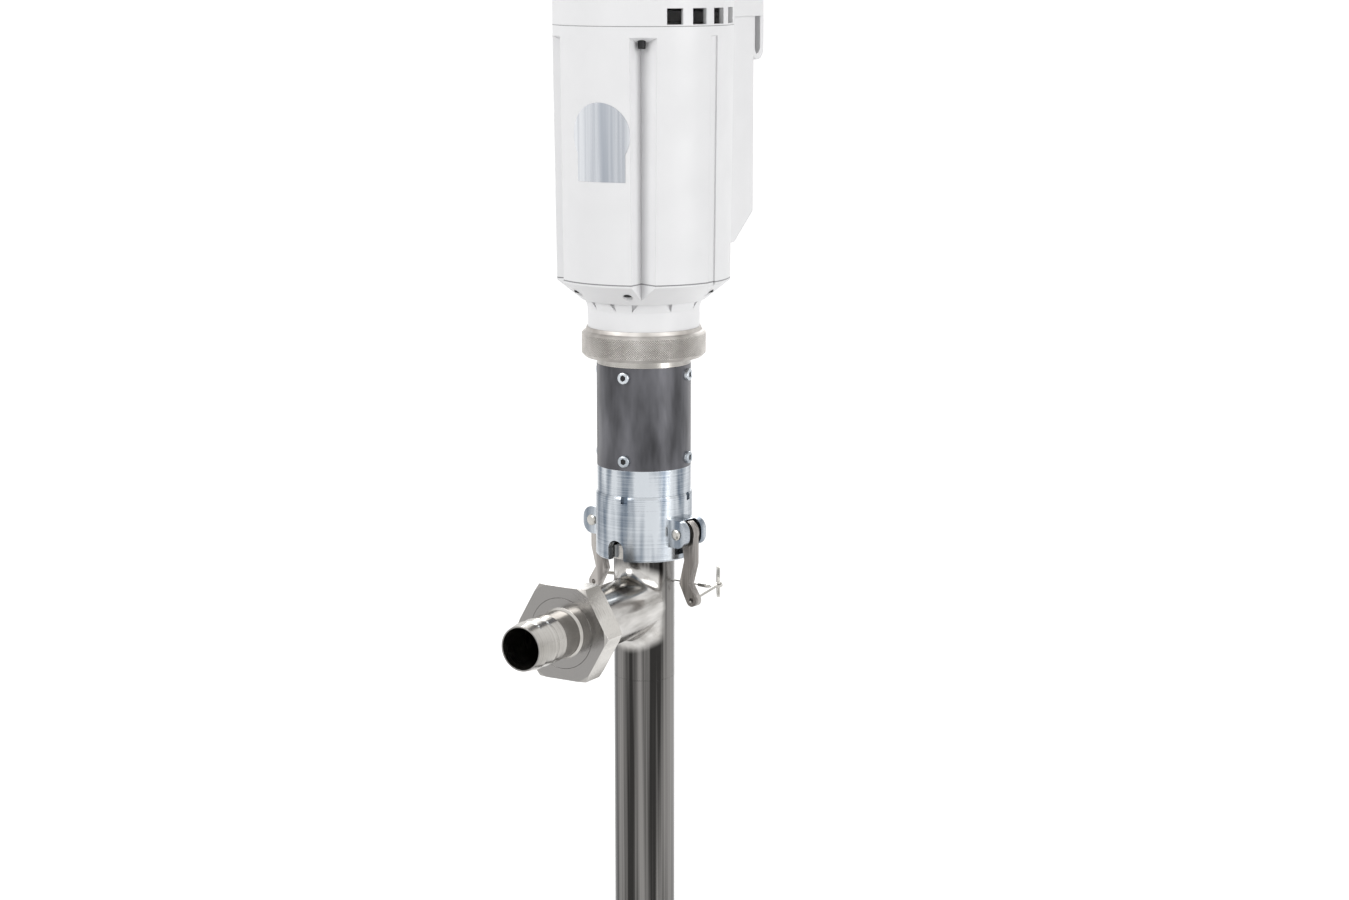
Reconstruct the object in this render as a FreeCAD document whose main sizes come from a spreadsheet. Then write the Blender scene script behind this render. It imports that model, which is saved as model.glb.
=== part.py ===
import FreeCAD, Part
import math
import os
import re
import Sketcher
from FreeCAD import Placement, Rotation, Vector

# Drum pump: a geared electric motor on a cam-lever coupling, over a long
# suction tube with a progressing-cavity pump at its foot and a side discharge
# with a hex union and a hose tail. Millimetres, +Z up, origin on the tube's
# axis at the inlet end, discharge towards -Y.

# Driving dimensions
SIZES = {
    # Suction tube, foot and tee
    "tube_od": 50.8,
    "tube_wall": 1.65,
    "branch_height": 1040,
    "tee_drop": 62,
    "pull_radius": 11,
    "branch_step": 0.4,
    "foot_height": 28,
    "foot_slot_width": 8.5,
    "foot_slot_height": 9,
    "housing_wall": 3.4,
    "stator_length": 210,
    "joint_overlap": 14,
    "joint_chamfer": 0.7,
    # Progressing-cavity pump
    "rotor_diameter": 21,
    "eccentricity": 2.6,
    "rotor_pitch": 42,
    "cavity_gap": 0.35,
    "rotor_overhang": 8,
    "rod_diameter": 9,
    "rod_length": 190,
    "ball_diameter": 13,
    "cup_diameter": 24,
    "cup_depth": 20,
    "cup_floor": 8,
    "ball_gap": 0.3,
    # Drive shaft and its bearings
    "shaft_diameter": 12,
    "running_gap": 0.05,
    "bush_hub": 22,
    "bush_length": 20,
    "bush_leg": 5,
    "lower_bush_rise": 120,
    "upper_bush_drop": 120,
    "shaft_hex": 12.2,
    "socket_gap": 0.15,
    "dog_diameter": 22,
    "dog_length": 16,
    "dog_socket": 10,
    # Cam adapter on top of the tube
    "adapter_od": 65,
    "adapter_lip_od": 61,
    "adapter_height": 35.8,
    "adapter_seat": 13.3,
    "adapter_bore": 40,
    "groove_gap": 0.4,
    "seal_height": 10,
    # Cam-lever coupling
    "coupler_rise": 41.7,
    "coupler_od": 80.2,
    "coupler_height": 43.4,
    "coupler_bore": 66.2,
    "coupler_top": 4.1,
    "coupler_chamfer": 1.4,
    "gasket_width": 8,
    "pivot_rise": 23.9,
    "pivot_radius": 46.5,
    "pivot_pin": 6,
    "pivot_pin_length": 30.6,
    "ear_width": 27,
    "ear_gap": 14.6,
    "ear_reach": 9.5,
    "ear_half_height": 11.5,
    "window_drop": 19,
    "window_rise": 11.2,
    "notch_width": 15.3,
    "notch_height": 17.2,
    "lever_turn": -9.3,
    "notch_turn": -5,
    # Cam levers
    "lever_thickness": 7,
    "lever_head": 10.5,
    "lobe_radius": 18.2,
    "lobe_half_height": 7.5,
    "lever_outer": 9.8,
    "lever_inner": 0.01,
    "lever_straight": 25,
    "lever_inner_drop": 23,
    "elbow_drop": 42.5,
    "elbow_outer": 4.9,
    "elbow_inner": -5.2,
    "foot_drop": 56,
    "foot_reach": 7.4,
    "foot_radius": 5.3,
    "foot_tilt": 28.7,
    "foot_hole": 4,
    "ring_pin_diameter": 2.2,
    "ring_pin_reach": 33,
    "ring_pin_eye": 7,
    "ring_pin_lean": 12,
    "ring_pin_tail": 0.5,
    "split_ring_gap": 0.25,
    "split_ring_turn": 40.3,
    "split_ring_diameter": 27,
    "split_ring_wire": 1.6,
    "keeper_wire": 1.3,
    "keeper_drop": 50.4,
    "keeper_reach": 48,
    "keeper_set_back": 19,
    "keeper_eye": 5.2,
    "keeper_ferrule": 3,
    "keeper_ferrule_length": 7,
    # Reducer
    "lock_ring_height": 11.1,
    "lock_ring_chamfer": 2,
    "lock_slot_width": 5.9,
    "lock_slot_height": 6,
    "lock_slot_depth": 3.2,
    "spigot_od": 60,
    "band_od": 77.6,
    "band_height": 21.7,
    "sleeve_od": 77.8,
    "sleeve_bore": 69.6,
    "sleeve_height": 85,
    "sleeve_spigot": 16,
    "screw_inset": 8,
    "screw_head": 10,
    "screw_head_height": 3,
    "screw_shank": 5,
    "screw_depth": 11,
    "sleeve_turn": 7.25,
    "output_shaft": 15,
    "bearing_od": 32,
    "bearing_width": 9,
    "oil_seal_od": 28,
    "oil_seal_height": 5,
    "gear_module": 1.25,
    "sun_teeth": 12,
    "planet_teeth": 18,
    "planet_count": 3,
    "gear_addendum": 1.0,
    "gear_dedendum": 1.35,
    "gear_backlash": 0.24,
    "gear_width": 14,
    "carrier_thickness": 6,
    "carrier_rim": 3,
    "planet_pin": 6,
    "gear_side_gap": 1,
    "lip_od": 77.5,
    "lip_height": 5.8,
    # Collar nut and motor
    "collar_od": 102.2,
    "collar_top_od": 96,
    "collar_height": 24.9,
    "collar_lip": 2.4,
    "clamp_flange_od": 88,
    "clamp_flange_height": 5,
    "thread_gap": 0.3,
    "neck_od": 92.4,
    "neck_height": 18.7,
    "bell_height": 22,
    "bell_rim": 2,
    "bell_wall": 5,
    "ledge_rise": 4.1,
    "skirt_drop": 3.3,
    "skirt_flare": 2.4,
    "notch_front": 4.5,
    "notch_left": 26,
    "notch_right": 23.8,
    "notch_rib": 57.3,
    "notch_side": 94.6,
    "pocket_width": 5.2,
    "pocket_height": 6.6,
    "pocket_depth": 3.5,
    "case_hole": 7.6,
    "case_hole_reach": 60,
    "case_hole_turn": 24.5,
    "case_hole_side": 98.6,
    "case_boss": 13,
    "housing_od_low": 142.2,
    "housing_od_high": 146.8,
    "housing_height": 204.1,
    "shell_wall": 5,
    "groove_depth": 16.5,
    "groove_width_front": 13.9,
    "groove_width_back": 8.4,
    "groove_roof": 9,
    "groove_top_drop": 6,
    "groove_turn": 35.6,
    "groove_wall": 4,
    "side_groove_width": 8,
    "side_groove_depth": 1.6,
    "side_groove_turn": 87,
    "side_groove_drop": 8,
    "motor_turn": -5,
    "tie_screw_diameter": 6.4,
    "tie_screw_length": 3,
    "field_gap": 0.9,
    "field_bore": 62,
    "field_rise": 45,
    "armature_od": 60,
    "motor_shaft": 12,
    "commutator_od": 36,
    "commutator_height": 26,
    "commutator_gap": 14,
    "commutator_drop": 25,
    "fan_od": 104,
    "fan_height": 16,
    "fan_blades": 11,
    "brush_width": 8,
    "brush_height": 14,
    "brush_length": 16,
    "bridge_height": 8,
    "motor_bearing_od": 32,
    "motor_bearing_width": 10,
    # Motor cap, rear cover and hook
    "cap_height": 80,
    "cap_wall": 4,
    "cap_round": 18,
    "cap_crown": 3,
    "vent_width": 13.5,
    "vent_height": 12.5,
    "vent_sill": 1.2,
    "vent_pitch": 17.5,
    "vent_start": 56.7,
    "vents_a_side": 4,
    "tail_half_width": 45,
    "tail_overhang": 17,
    "tail_rise": 5,
    "tail_corner": 12,
    "cover_half_width": 41,
    "cover_depth": 26.9,
    "cover_low": 24,
    "cover_slope": 24,
    "cover_wall": 3,
    "hook_drop": 36,
    "hook_thickness": 5,
    "hook_round": 9,
    "hook_half_width": 40,
    "hook_gap": 0.3,
    "hook_liner": 3,
    "switch_width": 16,
    "switch_height": 24,
    "switch_proud": 4,
    "switch_pivot": 5,
    "switch_pivot_inset": 6,
    "switch_gap": 1,
    "switch_rise": 90,
    "inlet_diameter": 16,
    "inlet_bore": 9,
    "inlet_length": 22,
    "inlet_inset": 13,
    # Discharge union and hose tail
    "nut_face": 126.4,
    "nut_thickness": 23,
    "nut_corner_radius": 43.9,
    "nut_chamfer": 3.2,
    "nut_lip": 4.9,
    "union_thread": 67.8,
    "union_gasket": 2.5,
    "union_flange": 2.7,
    "tail_collar": 57.4,
    "tail_bore": 34,
    "tail_neck": 38.6,
    "tail_mouth": 184.3,
    "barb_rise": 1.3,
    "barb_pitch": 13,
    "barb_count": 3,
}

# Places and sizes that follow from the driving dimensions
PLACES = {
    "tube_r": "tube_od / 2",
    "bore_r": "tube_r - tube_wall",
    "branch_r": "tube_r - branch_step",
    "branch_bore_r": "bore_r - branch_step",
    "tee_low": "branch_height - tee_drop",
    "housing_low": "foot_height",
    "housing_high": "housing_low + stator_length",
    "liner_r": "tube_r - housing_wall",
    "cavity_r": "rotor_diameter / 2 + cavity_gap",
    "rotor_low": "housing_low - rotor_overhang / 2",
    "rotor_high": "housing_high + rotor_overhang",
    "rod_low": "rotor_high + cup_floor + ball_diameter / 2",
    "rod_high": "rod_low + rod_length",
    "cup_low": "rod_high - ball_diameter / 2 - 4",
    "cup_high": "cup_low + cup_depth + cup_floor",
    "shaft_r": "shaft_diameter / 2",
    "coupler_low": "branch_height + coupler_rise",
    "pivot_z": "coupler_low + pivot_rise",
    "coupler_high": "coupler_low + coupler_height",
    "adapter_high": "coupler_low + adapter_height",
    "groove_r": "lobe_radius + groove_gap",
    "groove_low": "pivot_z - sqrt(groove_r ^ 2 - (pivot_radius - adapter_od / 2) ^ 2)",
    "groove_high": "pivot_z + sqrt(groove_r ^ 2 - (pivot_radius - adapter_lip_od / 2) ^ 2)",
    "ring_high": "coupler_high + lock_ring_height",
    "band_high": "ring_high + band_height",
    "sleeve_high": "band_high + sleeve_height",
    "lip_high": "sleeve_high + lip_height",
    "collar_high": "lip_high + collar_height",
    "flange_low": "lip_high + collar_lip",
    "bell_low": "flange_low + clamp_flange_height",
    "neck_high": "collar_high + neck_height",
    "bell_high": "neck_high + bell_height",
    "housing_top": "bell_high + housing_height",
    "cap_high": "housing_top + cap_height",
    "dog_low": "adapter_high - 3.5",
    "dog_high": "dog_low + dog_length",
    "dog_floor": "dog_low + dog_socket",
    "planet_pitch_r": "gear_module * planet_teeth / 2",
    "sun_pitch_r": "gear_module * sun_teeth / 2",
    "ring_teeth": "sun_teeth + 2 * planet_teeth",
    "carrier_r": "sun_pitch_r + planet_pitch_r",
    "carrier_low": "band_high + sleeve_spigot + 2",
    "carrier_high": "carrier_low + carrier_thickness",
    "gear_low": "carrier_high + gear_side_gap",
    "gear_high": "gear_low + gear_width",
    "nut_back": "nut_face - nut_thickness",
    "union_seat": "nut_face - nut_lip - union_flange",
    "ferrule_high": "union_seat - union_gasket",
    "lower_bearing_low": "bell_low + 8",
    "upper_bearing_low": "housing_top - 24",
    "cover_reach": "housing_od_low / 2 + cover_depth",
    "tail_reach": "cover_reach + tail_overhang",
    "hook_outer": "tail_reach - 1",
    "tail_low": "housing_top + tail_rise",
    "crown_edge": "housing_od_high / 2 - cap_round",
    "crown_r": "(crown_edge ^ 2 + cap_crown ^ 2) / (2 * cap_crown)",
    "cover_floor": "bell_high + cover_low",
    "ledge_r": "neck_od / 2 + ledge_rise * (housing_od_low - neck_od) / 2 / (bell_height - bell_rim)",
    "field_r": "housing_od_high / 2 - groove_depth - groove_wall - field_gap",
    "commutator_high": "upper_bearing_low - commutator_drop",
    "commutator_low": "commutator_high - commutator_height",
    "field_low": "bell_high + field_rise",
    "field_high": "commutator_low - commutator_gap",
    "keeper_z": "pivot_z - keeper_drop",
}

doc = FreeCAD.newDocument("DrumPump")
OWNER = {name: "Sizes." for name in SIZES}
OWNER.update({name: "Places." for name in PLACES})


def bound(text):
    """Put the sheet's name before each size or place in a formula."""
    return re.sub(r"[a-z]\w*", lambda word: OWNER.get(word[0], "") + word[0], str(text))


def fill_sheet(label, rows, formula):
    """Write one row for each value, with its name as the alias."""
    sheet = doc.addObject("Spreadsheet::Sheet", label)
    for row, (name, content) in enumerate(rows.items(), 1):
        sheet.set("A%d" % row, name)
        sheet.setAlias("B%d" % row, name)
        sheet.set("B%d" % row, "=" + bound(content).replace("Places.", "") if formula else str(content))
    return sheet


fill_sheet("Sizes", SIZES, False)
doc.recompute()
fill_sheet("Places", PLACES, True)
doc.recompute()
gauge = doc.addObject("Part::Feature", "gauge")
parts = []


def value(text):
    """The present value of a formula."""
    return float(gauge.evalExpression(bound(text)))


def keep(shape, label):
    """Count a finished sub-part and give it its label."""
    shape.Label = label
    parts.append(shape)
    return shape


def place(shape, x=None, y=None, z=None, turn=None, axis=(0, 0, 1)):
    """Bind where an object stands and how far it is turned."""
    shape.Placement = Placement(Vector(), Rotation(Vector(*axis), 1 if turn is not None else 0))
    for name, formula in (("Base.x", x), ("Base.y", y), ("Base.z", z), ("Rotation.Angle", turn)):
        if formula is not None:
            shape.setExpression("Placement." + name, bound(formula))
    return shape


def outline(body, plane, corners):
    """A closed sketch whose corners, and the radii of its arcs, are formulas.

    A corner is (x, y), or (x, y, radius) where an arc leads to the next
    corner: a positive radius bends to the left of the way there.
    """
    sketch = body.newObject("Sketcher::SketchObject", body.Name + "_outline")
    origin = [item for item in body.Origin.OriginFeatures if item.Role == plane][0]
    sketch.AttachmentSupport = [(origin, "")]
    sketch.MapMode = "FlatFace"
    spots = [Vector(value(corner[0]), value(corner[1]), 0) for corner in corners]
    ends = []
    for index, corner in enumerate(corners):
        start, finish = spots[index], spots[(index + 1) % len(spots)]
        if len(corner) == 2:
            sketch.addGeometry(Part.LineSegment(start, finish), False)
            ends.append((1, 2))
            continue
        radius = value(corner[2])
        middle, half = (start + finish) / 2, (finish - start) / 2
        side = Vector(-half.y, half.x, 0).normalize()
        reach = math.sqrt(max(radius ** 2 - half.Length ** 2, 0))
        centre = middle + side * math.copysign(reach, radius)
        crest = centre - side * math.copysign(abs(radius), radius)
        sketch.addGeometry(Part.Arc(start, crest, finish), False)
        ends.append((1, 2) if radius > 0 else (2, 1))
        number = sketch.addConstraint(Sketcher.Constraint("Radius", index, abs(radius)))
        sketch.setExpression("Constraints[%d]" % number, bound("abs(%s)" % corner[2]))
    for index in range(len(corners)):
        following = (index + 1) % len(corners)
        sketch.addConstraint(
            Sketcher.Constraint("Coincident", index, ends[index][1], following, ends[following][0]))
    for index, corner in enumerate(corners):
        for kind, formula, across in (("DistanceX", corner[0], -2), ("DistanceY", corner[1], -1)):
            if str(formula) == "0":
                sketch.addConstraint(Sketcher.Constraint("PointOnObject", index, ends[index][0], across))
                continue
            number = sketch.addConstraint(
                Sketcher.Constraint(kind, -1, 1, index, ends[index][0], value(formula)))
            sketch.setExpression("Constraints[%d]" % number, bound(formula))
    return sketch


def turned(name, corners):
    """A body turned about Z from a section of (radius, height) corners."""
    body = doc.addObject("PartDesign::Body", name)
    turn = body.newObject("PartDesign::Revolution", name + "_turn")
    turn.Profile = outline(body, "XZ_Plane", corners)
    turn.ReferenceAxis = (turn.Profile[0], ["V_Axis"])
    turn.Angle = 360
    return body


def slab(name, corners, plane, thickness):
    """A body padded both ways from a drawn outline."""
    body = doc.addObject("PartDesign::Body", name)
    pad = body.newObject("PartDesign::Pad", name + "_pad")
    pad.Profile = outline(body, plane, corners)
    pad.SideType = "Symmetric"
    pad.Length = value(thickness)
    pad.setExpression("Length", bound(thickness))
    return body


def ring(name, outer, inner, low, high):
    """A plain ring from its radii and heights."""
    return turned(name, [(inner, low), (outer, low), (outer, high), (inner, high)])


def rod(name, radius, length, **where):
    """A cylinder along its own Z."""
    bar = doc.addObject("Part::Cylinder", name)
    bar.setExpression("Radius", bound(radius))
    bar.setExpression("Height", bound(length))
    return place(bar, **where)


def block(name, low, high, turn=None):
    """A box between two corners, turned about the pump's axis."""
    box = doc.addObject("Part::Box", name)
    for side, first, last in zip(("Length", "Width", "Height"), low, high):
        box.setExpression(side, bound("(%s) - (%s)" % (last, first)))
    for side, first in zip("xyz", low):
        box.setExpression("Placement.Base." + side, bound(first))
    return box if turn is None else turned_about(name, box, turn)


def turned_about(name, shape, turn):
    """A copy of a shape turned about the pump's axis."""
    group = doc.addObject("Part::Compound", name + "_set")
    group.Links = [shape]
    return place(group, turn=turn)


def joined(name, *shapes):
    """Several shapes fused into one."""
    fuse = doc.addObject("Part::MultiFuse", name)
    fuse.Shapes = list(shapes)
    return fuse


def grouped(name, *shapes):
    """Several shapes kept apart in one group."""
    group = doc.addObject("Part::Compound", name)
    group.Links = list(shapes)
    return group


def cut(name, base, *tools):
    """A shape less its tools."""
    result = doc.addObject("Part::Cut", name)
    result.Base = base
    result.Tool = tools[0] if len(tools) == 1 else joined(name + "_tools", *tools)
    return result


def common(name, first, second):
    """What two shapes share."""
    result = doc.addObject("Part::MultiCommon", name)
    result.Shapes = [first, second]
    return result


def drawn(name, shape):
    """A sub-part whose shape is worked out here from the sheet's values."""
    feature = doc.addObject("Part::Feature", name)
    feature.Shape = shape
    feature.Placement = shape.Placement
    return feature


# Suction tube
def outer_tube():
    """The long plain tube, its top edge chamfered where it meets the tee."""
    keep(turned("outer_tube_body", [
        ("bore_r", "housing_high"), ("tube_r", "housing_high"), ("tube_r", "tee_low - joint_chamfer"),
        ("tube_r - joint_chamfer", "tee_low"), ("bore_r", "tee_low")]), "outer_tube")


def inlet_foot():
    """A slotted ring that stands on the drum's floor and spigots into the pump housing."""
    blank = turned("foot_blank", [
        ("tube_r - 6", 0), ("tube_r", 0), ("tube_r", "foot_height"),
        ("liner_r", "foot_height"), ("liner_r", "foot_height + 6"), ("liner_r - 3", "foot_height + 6"),
        ("liner_r - 3", "foot_height - 6"), ("tube_r - 6", "foot_slot_height + 4")])
    slots = []
    for number in range(2):
        bar = block("foot_slot_%d" % number, ("-tube_od", "-foot_slot_width / 2", "-foot_slot_height"),
                    ("tube_od", "foot_slot_width / 2", "foot_slot_height"), "%d * 90" % number)
        slots.append(bar)
    keep(cut("foot_cut", blank, *slots), "inlet_foot")


def helical(wire, pitch, low, high):
    """Sweep a level section up a helix without tilting it."""
    path = Part.makeHelix(pitch, high - low, 1)
    sweep = Part.BRepOffsetAPI.MakePipeShell(path)
    sweep.setBiNormalMode(Vector(0, 0, 1))
    sweep.add(wire)
    sweep.build()
    sweep.makeSolid()
    solid = sweep.shape()
    solid.translate(Vector(0, 0, low))
    return solid


def pump_stage():
    """A round eccentric screw that rolls in a two-start rubber stator of twice its pitch."""
    keep(ring("stator_housing_body", "tube_r", "liner_r", "housing_low", "housing_high"), "stator_housing")
    low, high = value("housing_low + 6"), value("housing_high - joint_overlap")
    radius, reach = value("cavity_r"), 2 * value("eccentricity")
    edge = Part.Wire([
        Part.Arc(Vector(reach, -radius), Vector(reach + radius, 0), Vector(reach, radius)).toShape(),
        Part.LineSegment(Vector(reach, radius), Vector(-reach, radius)).toShape(),
        Part.Arc(Vector(-reach, radius), Vector(-reach - radius, 0), Vector(-reach, -radius)).toShape(),
        Part.LineSegment(Vector(-reach, -radius), Vector(reach, -radius)).toShape()])
    spare = 1
    cavity = helical(edge, 2 * value("rotor_pitch"), low - spare, high + spare)
    liner = Part.makeCylinder(value("liner_r"), high - low, Vector(0, 0, low))
    turn = Rotation(Vector(0, 0, 1), -360 * spare / (2 * value("rotor_pitch")))
    cavity.Placement = Placement(Vector(), turn).multiply(cavity.Placement)
    keep(drawn("stator_liner_body", liner.cut(cavity)), "stator_liner")

    throw = value("eccentricity")
    section = Part.Wire([
        Part.Circle(Vector(throw, 0, 0), Vector(0, 0, 1), value("rotor_diameter") / 2).toShape()])
    low, high = value("rotor_low"), value("rotor_high")
    screw = helical(section, value("rotor_pitch"), low, high)
    phase = 360 * (low - value("housing_low + 6")) / value("rotor_pitch")
    screw.Placement = Placement(Vector(throw, 0, 0), Rotation(Vector(0, 0, 1), phase)).multiply(screw.Placement)
    screw_body = drawn("rotor_screw", screw)
    cup = turned("rotor_cup", [
        (0, 0), ("cup_diameter / 2", 0), ("cup_diameter / 2", "cup_depth + cup_floor"),
        ("ball_diameter / 2 + ball_gap", "cup_depth + cup_floor"),
        ("ball_diameter / 2 + ball_gap", "cup_floor - ball_gap"), (0, "cup_floor - ball_gap")])
    place(cup, x="eccentricity", z="rotor_high")
    keep(joined("rotor_fuse", screw_body, cup), "rotor")


def connecting_rod():
    """A ball-ended rod that runs from the rotor's rolling axis to the shaft's still one."""
    low = Vector(value("eccentricity"), 0, value("rod_low"))
    high = Vector(0, 0, value("rod_high"))
    along = high - low
    lean = Rotation(Vector(0, 0, 1), along)
    shank = rod("rod_shank", "rod_diameter / 2", "rod_length")
    balls = []
    for name, height in (("rod_ball_low", "0"), ("rod_ball_high", "rod_length")):
        ball = doc.addObject("Part::Sphere", name)
        ball.setExpression("Radius", bound("ball_diameter / 2"))
        place(ball, z=height)
        balls.append(ball)
    fuse = joined("rod_fuse", shank, *balls)
    fuse.Placement = Placement(low, lean)
    keep(fuse, "connecting_rod")


def drive_shaft():
    """The long shaft, its cup for the rod and its hex end for the dog."""
    cup = turned("shaft_cup_body", [
        ("ball_diameter / 2 + ball_gap", "cup_low"), ("cup_diameter / 2", "cup_low"),
        ("cup_diameter / 2", "cup_high"), ("shaft_r", "cup_high"), ("shaft_r", "cup_high - cup_floor"),
        ("ball_diameter / 2 + ball_gap", "cup_high - cup_floor")])
    keep(cup, "shaft_cup")
    bar = rod("shaft_bar", "shaft_r", "dog_low - cup_high + cup_floor", z="cup_high - cup_floor")
    tip = doc.addObject("Part::Prism", "shaft_tip")
    tip.Polygon = 6
    tip.setExpression("Circumradius", bound("shaft_hex / 2"))
    tip.setExpression("Height", bound("dog_socket + 1 - socket_gap"))
    place(tip, z="dog_low - 1")
    keep(joined("shaft_fuse", bar, tip), "drive_shaft")


def shaft_bushes():
    """Two spoked bushes that keep the shaft central and let the liquid past."""
    bushes = []
    for number, low in enumerate(("cup_high + lower_bush_rise", "tee_low - upper_bush_drop")):
        hub = ring("bush_hub_%d" % number, "bush_hub / 2", "shaft_r + running_gap", low, low + " + bush_length")
        legs = []
        for leg in range(3):
            spoke = block("bush_leg_%d_%d" % (number, leg), ("bush_hub / 2 - 1", "-bush_leg / 2", low),
                          ("bore_r", "bush_leg / 2", low + " + bush_length"), "%d * 120" % leg)
            legs.append(spoke)
        star = joined("bush_star_%d" % number, hub, *legs)
        bore = rod("bush_bore_%d" % number, "bore_r", "bush_length", z=low)
        bushes.append(common("bush_%d" % number, star, bore))
    keep(grouped("bush_pair", *bushes), "shaft_bushes")


# Discharge
def tee_body():
    """The tube's top length with the discharge branch pulled out of its side in a smooth flare."""
    walls = joined(
        "tee_walls", rod("tee_run", "tube_r", "tee_drop + coupler_rise + adapter_seat", z="tee_low"),
        rod("tee_branch", "branch_r", "ferrule_high - 8", z="branch_height", turn="90", axis=(1, 0, 0)))
    doc.recompute()
    # The flare follows the one seam where the branch leaves the run, a free curve
    radius = value("pull_radius")
    pulled = doc.addObject("Part::Fillet", "tee_pulled")
    pulled.Base = walls
    pulled.Edges = [(number, radius, radius) for number, edge in enumerate(walls.Shape.Edges, 1)
                    if isinstance(edge.Curve, Part.BSplineCurve)]
    bores = [
        rod("tee_run_bore", "bore_r", "tee_drop + coupler_rise + adapter_seat", z="tee_low"),
        rod("tee_branch_bore", "branch_bore_r", "ferrule_high", z="branch_height", turn="90", axis=(1, 0, 0))]
    keep(cut("tee_cut", pulled, *bores), "tee_body")


def discharge():
    """The union ferrule, gasket, hex nut and hose tail, each turned about the branch."""
    level = {"z": "branch_height", "turn": "90", "axis": (1, 0, 0)}
    ferrule = turned("ferrule_body", [
        ("branch_r", "nut_back - 3"), ("tube_r + 2", "nut_back - 3"), ("tube_r + 2", "nut_back + 1"),
        ("union_thread / 2 - thread_gap", "nut_back + 1"), ("union_thread / 2 - thread_gap", "ferrule_high"),
        ("branch_bore_r", "ferrule_high"), ("branch_bore_r", "ferrule_high - 8"),
        ("branch_r", "ferrule_high - 8")])
    keep(place(ferrule, **level), "union_ferrule")
    gasket = ring("union_gasket_body", "union_thread / 2 - 1", "bore_r", "ferrule_high", "union_seat")
    keep(place(gasket, **level), "union_gasket")

    envelope = turned("nut_envelope", [
        (0, "nut_back"), ("nut_corner_radius - nut_chamfer", "nut_back"),
        ("nut_corner_radius + 0.3", "nut_back + nut_chamfer * 0.58"),
        ("nut_corner_radius + 0.3", "nut_face - nut_chamfer * 0.58"),
        ("nut_corner_radius - nut_chamfer", "nut_face"), (0, "nut_face")])
    prism = doc.addObject("Part::Prism", "nut_prism")
    prism.Polygon = 6
    prism.setExpression("Circumradius", bound("nut_corner_radius"))
    prism.setExpression("Height", bound("nut_thickness"))
    place(prism, z="nut_back")
    hollow = turned("nut_hollow", [
        (0, "nut_back - 1"), ("union_thread / 2 + thread_gap / 2", "nut_back - 1"),
        ("union_thread / 2 + thread_gap / 2", "nut_face - nut_lip + 0.3"),
        ("tail_collar / 2 + thread_gap", "nut_face - nut_lip + 0.3"),
        ("tail_collar / 2 + thread_gap", "nut_face + 1"), (0, "nut_face + 1")])
    nut = cut("nut_cut", common("nut_hex", prism, envelope), hollow)
    keep(place(nut, **level), "union_nut")

    corners = [
        ("tail_bore / 2 + 4", "union_seat"), ("union_thread / 2 - thread_gap", "union_seat"),
        ("union_thread / 2 - thread_gap", "union_seat + union_flange"),
        ("tail_collar / 2", "union_seat + union_flange"), ("tail_collar / 2", "nut_face + 0.2"),
        ("tail_neck / 2 + 1.6", "nut_face + 0.2"), ("tail_neck / 2", "nut_face + 2")]
    first = "(tail_mouth - barb_count * barb_pitch)"
    for number in range(SIZES["barb_count"]):
        step = "%s + %d * barb_pitch" % (first, number)
        corners += [("tail_neck / 2 - 0.9", step), ("tail_neck / 2 + barb_rise - 0.9", step + " + 0.6"),
                    ("tail_neck / 2 + barb_rise - 0.9", step + " + 3")]
    corners += [("tail_bore / 2 + 1.1", "tail_mouth"), ("tail_bore / 2", "tail_mouth"),
                ("tail_bore / 2", "union_seat + 12")]
    tail = turned("hose_tail_body", corners)
    keep(place(tail, **level), "hose_tail")


# Cam-lever coupling
def cam_adapter():
    """The grooved ring round the tube's top, which the cams pull up to the gasket."""
    keep(turned("adapter_body", [
        ("tube_r", "coupler_low"), ("adapter_od / 2 - 1", "coupler_low"), ("adapter_od / 2", "coupler_low + 1"),
        ("adapter_od / 2", "groove_low", "-groove_r"), ("adapter_lip_od / 2", "groove_high"),
        ("adapter_lip_od / 2", "adapter_high - 1"), ("adapter_lip_od / 2 - 1", "adapter_high"),
        ("adapter_bore / 2", "adapter_high"), ("adapter_bore / 2", "coupler_low + adapter_seat"),
        ("tube_r", "coupler_low + adapter_seat")]), "cam_adapter")
    seal = ring("shaft_seal_body", "adapter_bore / 2", "shaft_r + running_gap",
                "coupler_low + adapter_seat + 4", "coupler_low + adapter_seat + 4 + seal_height")
    keep(seal, "shaft_seal")


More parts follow.
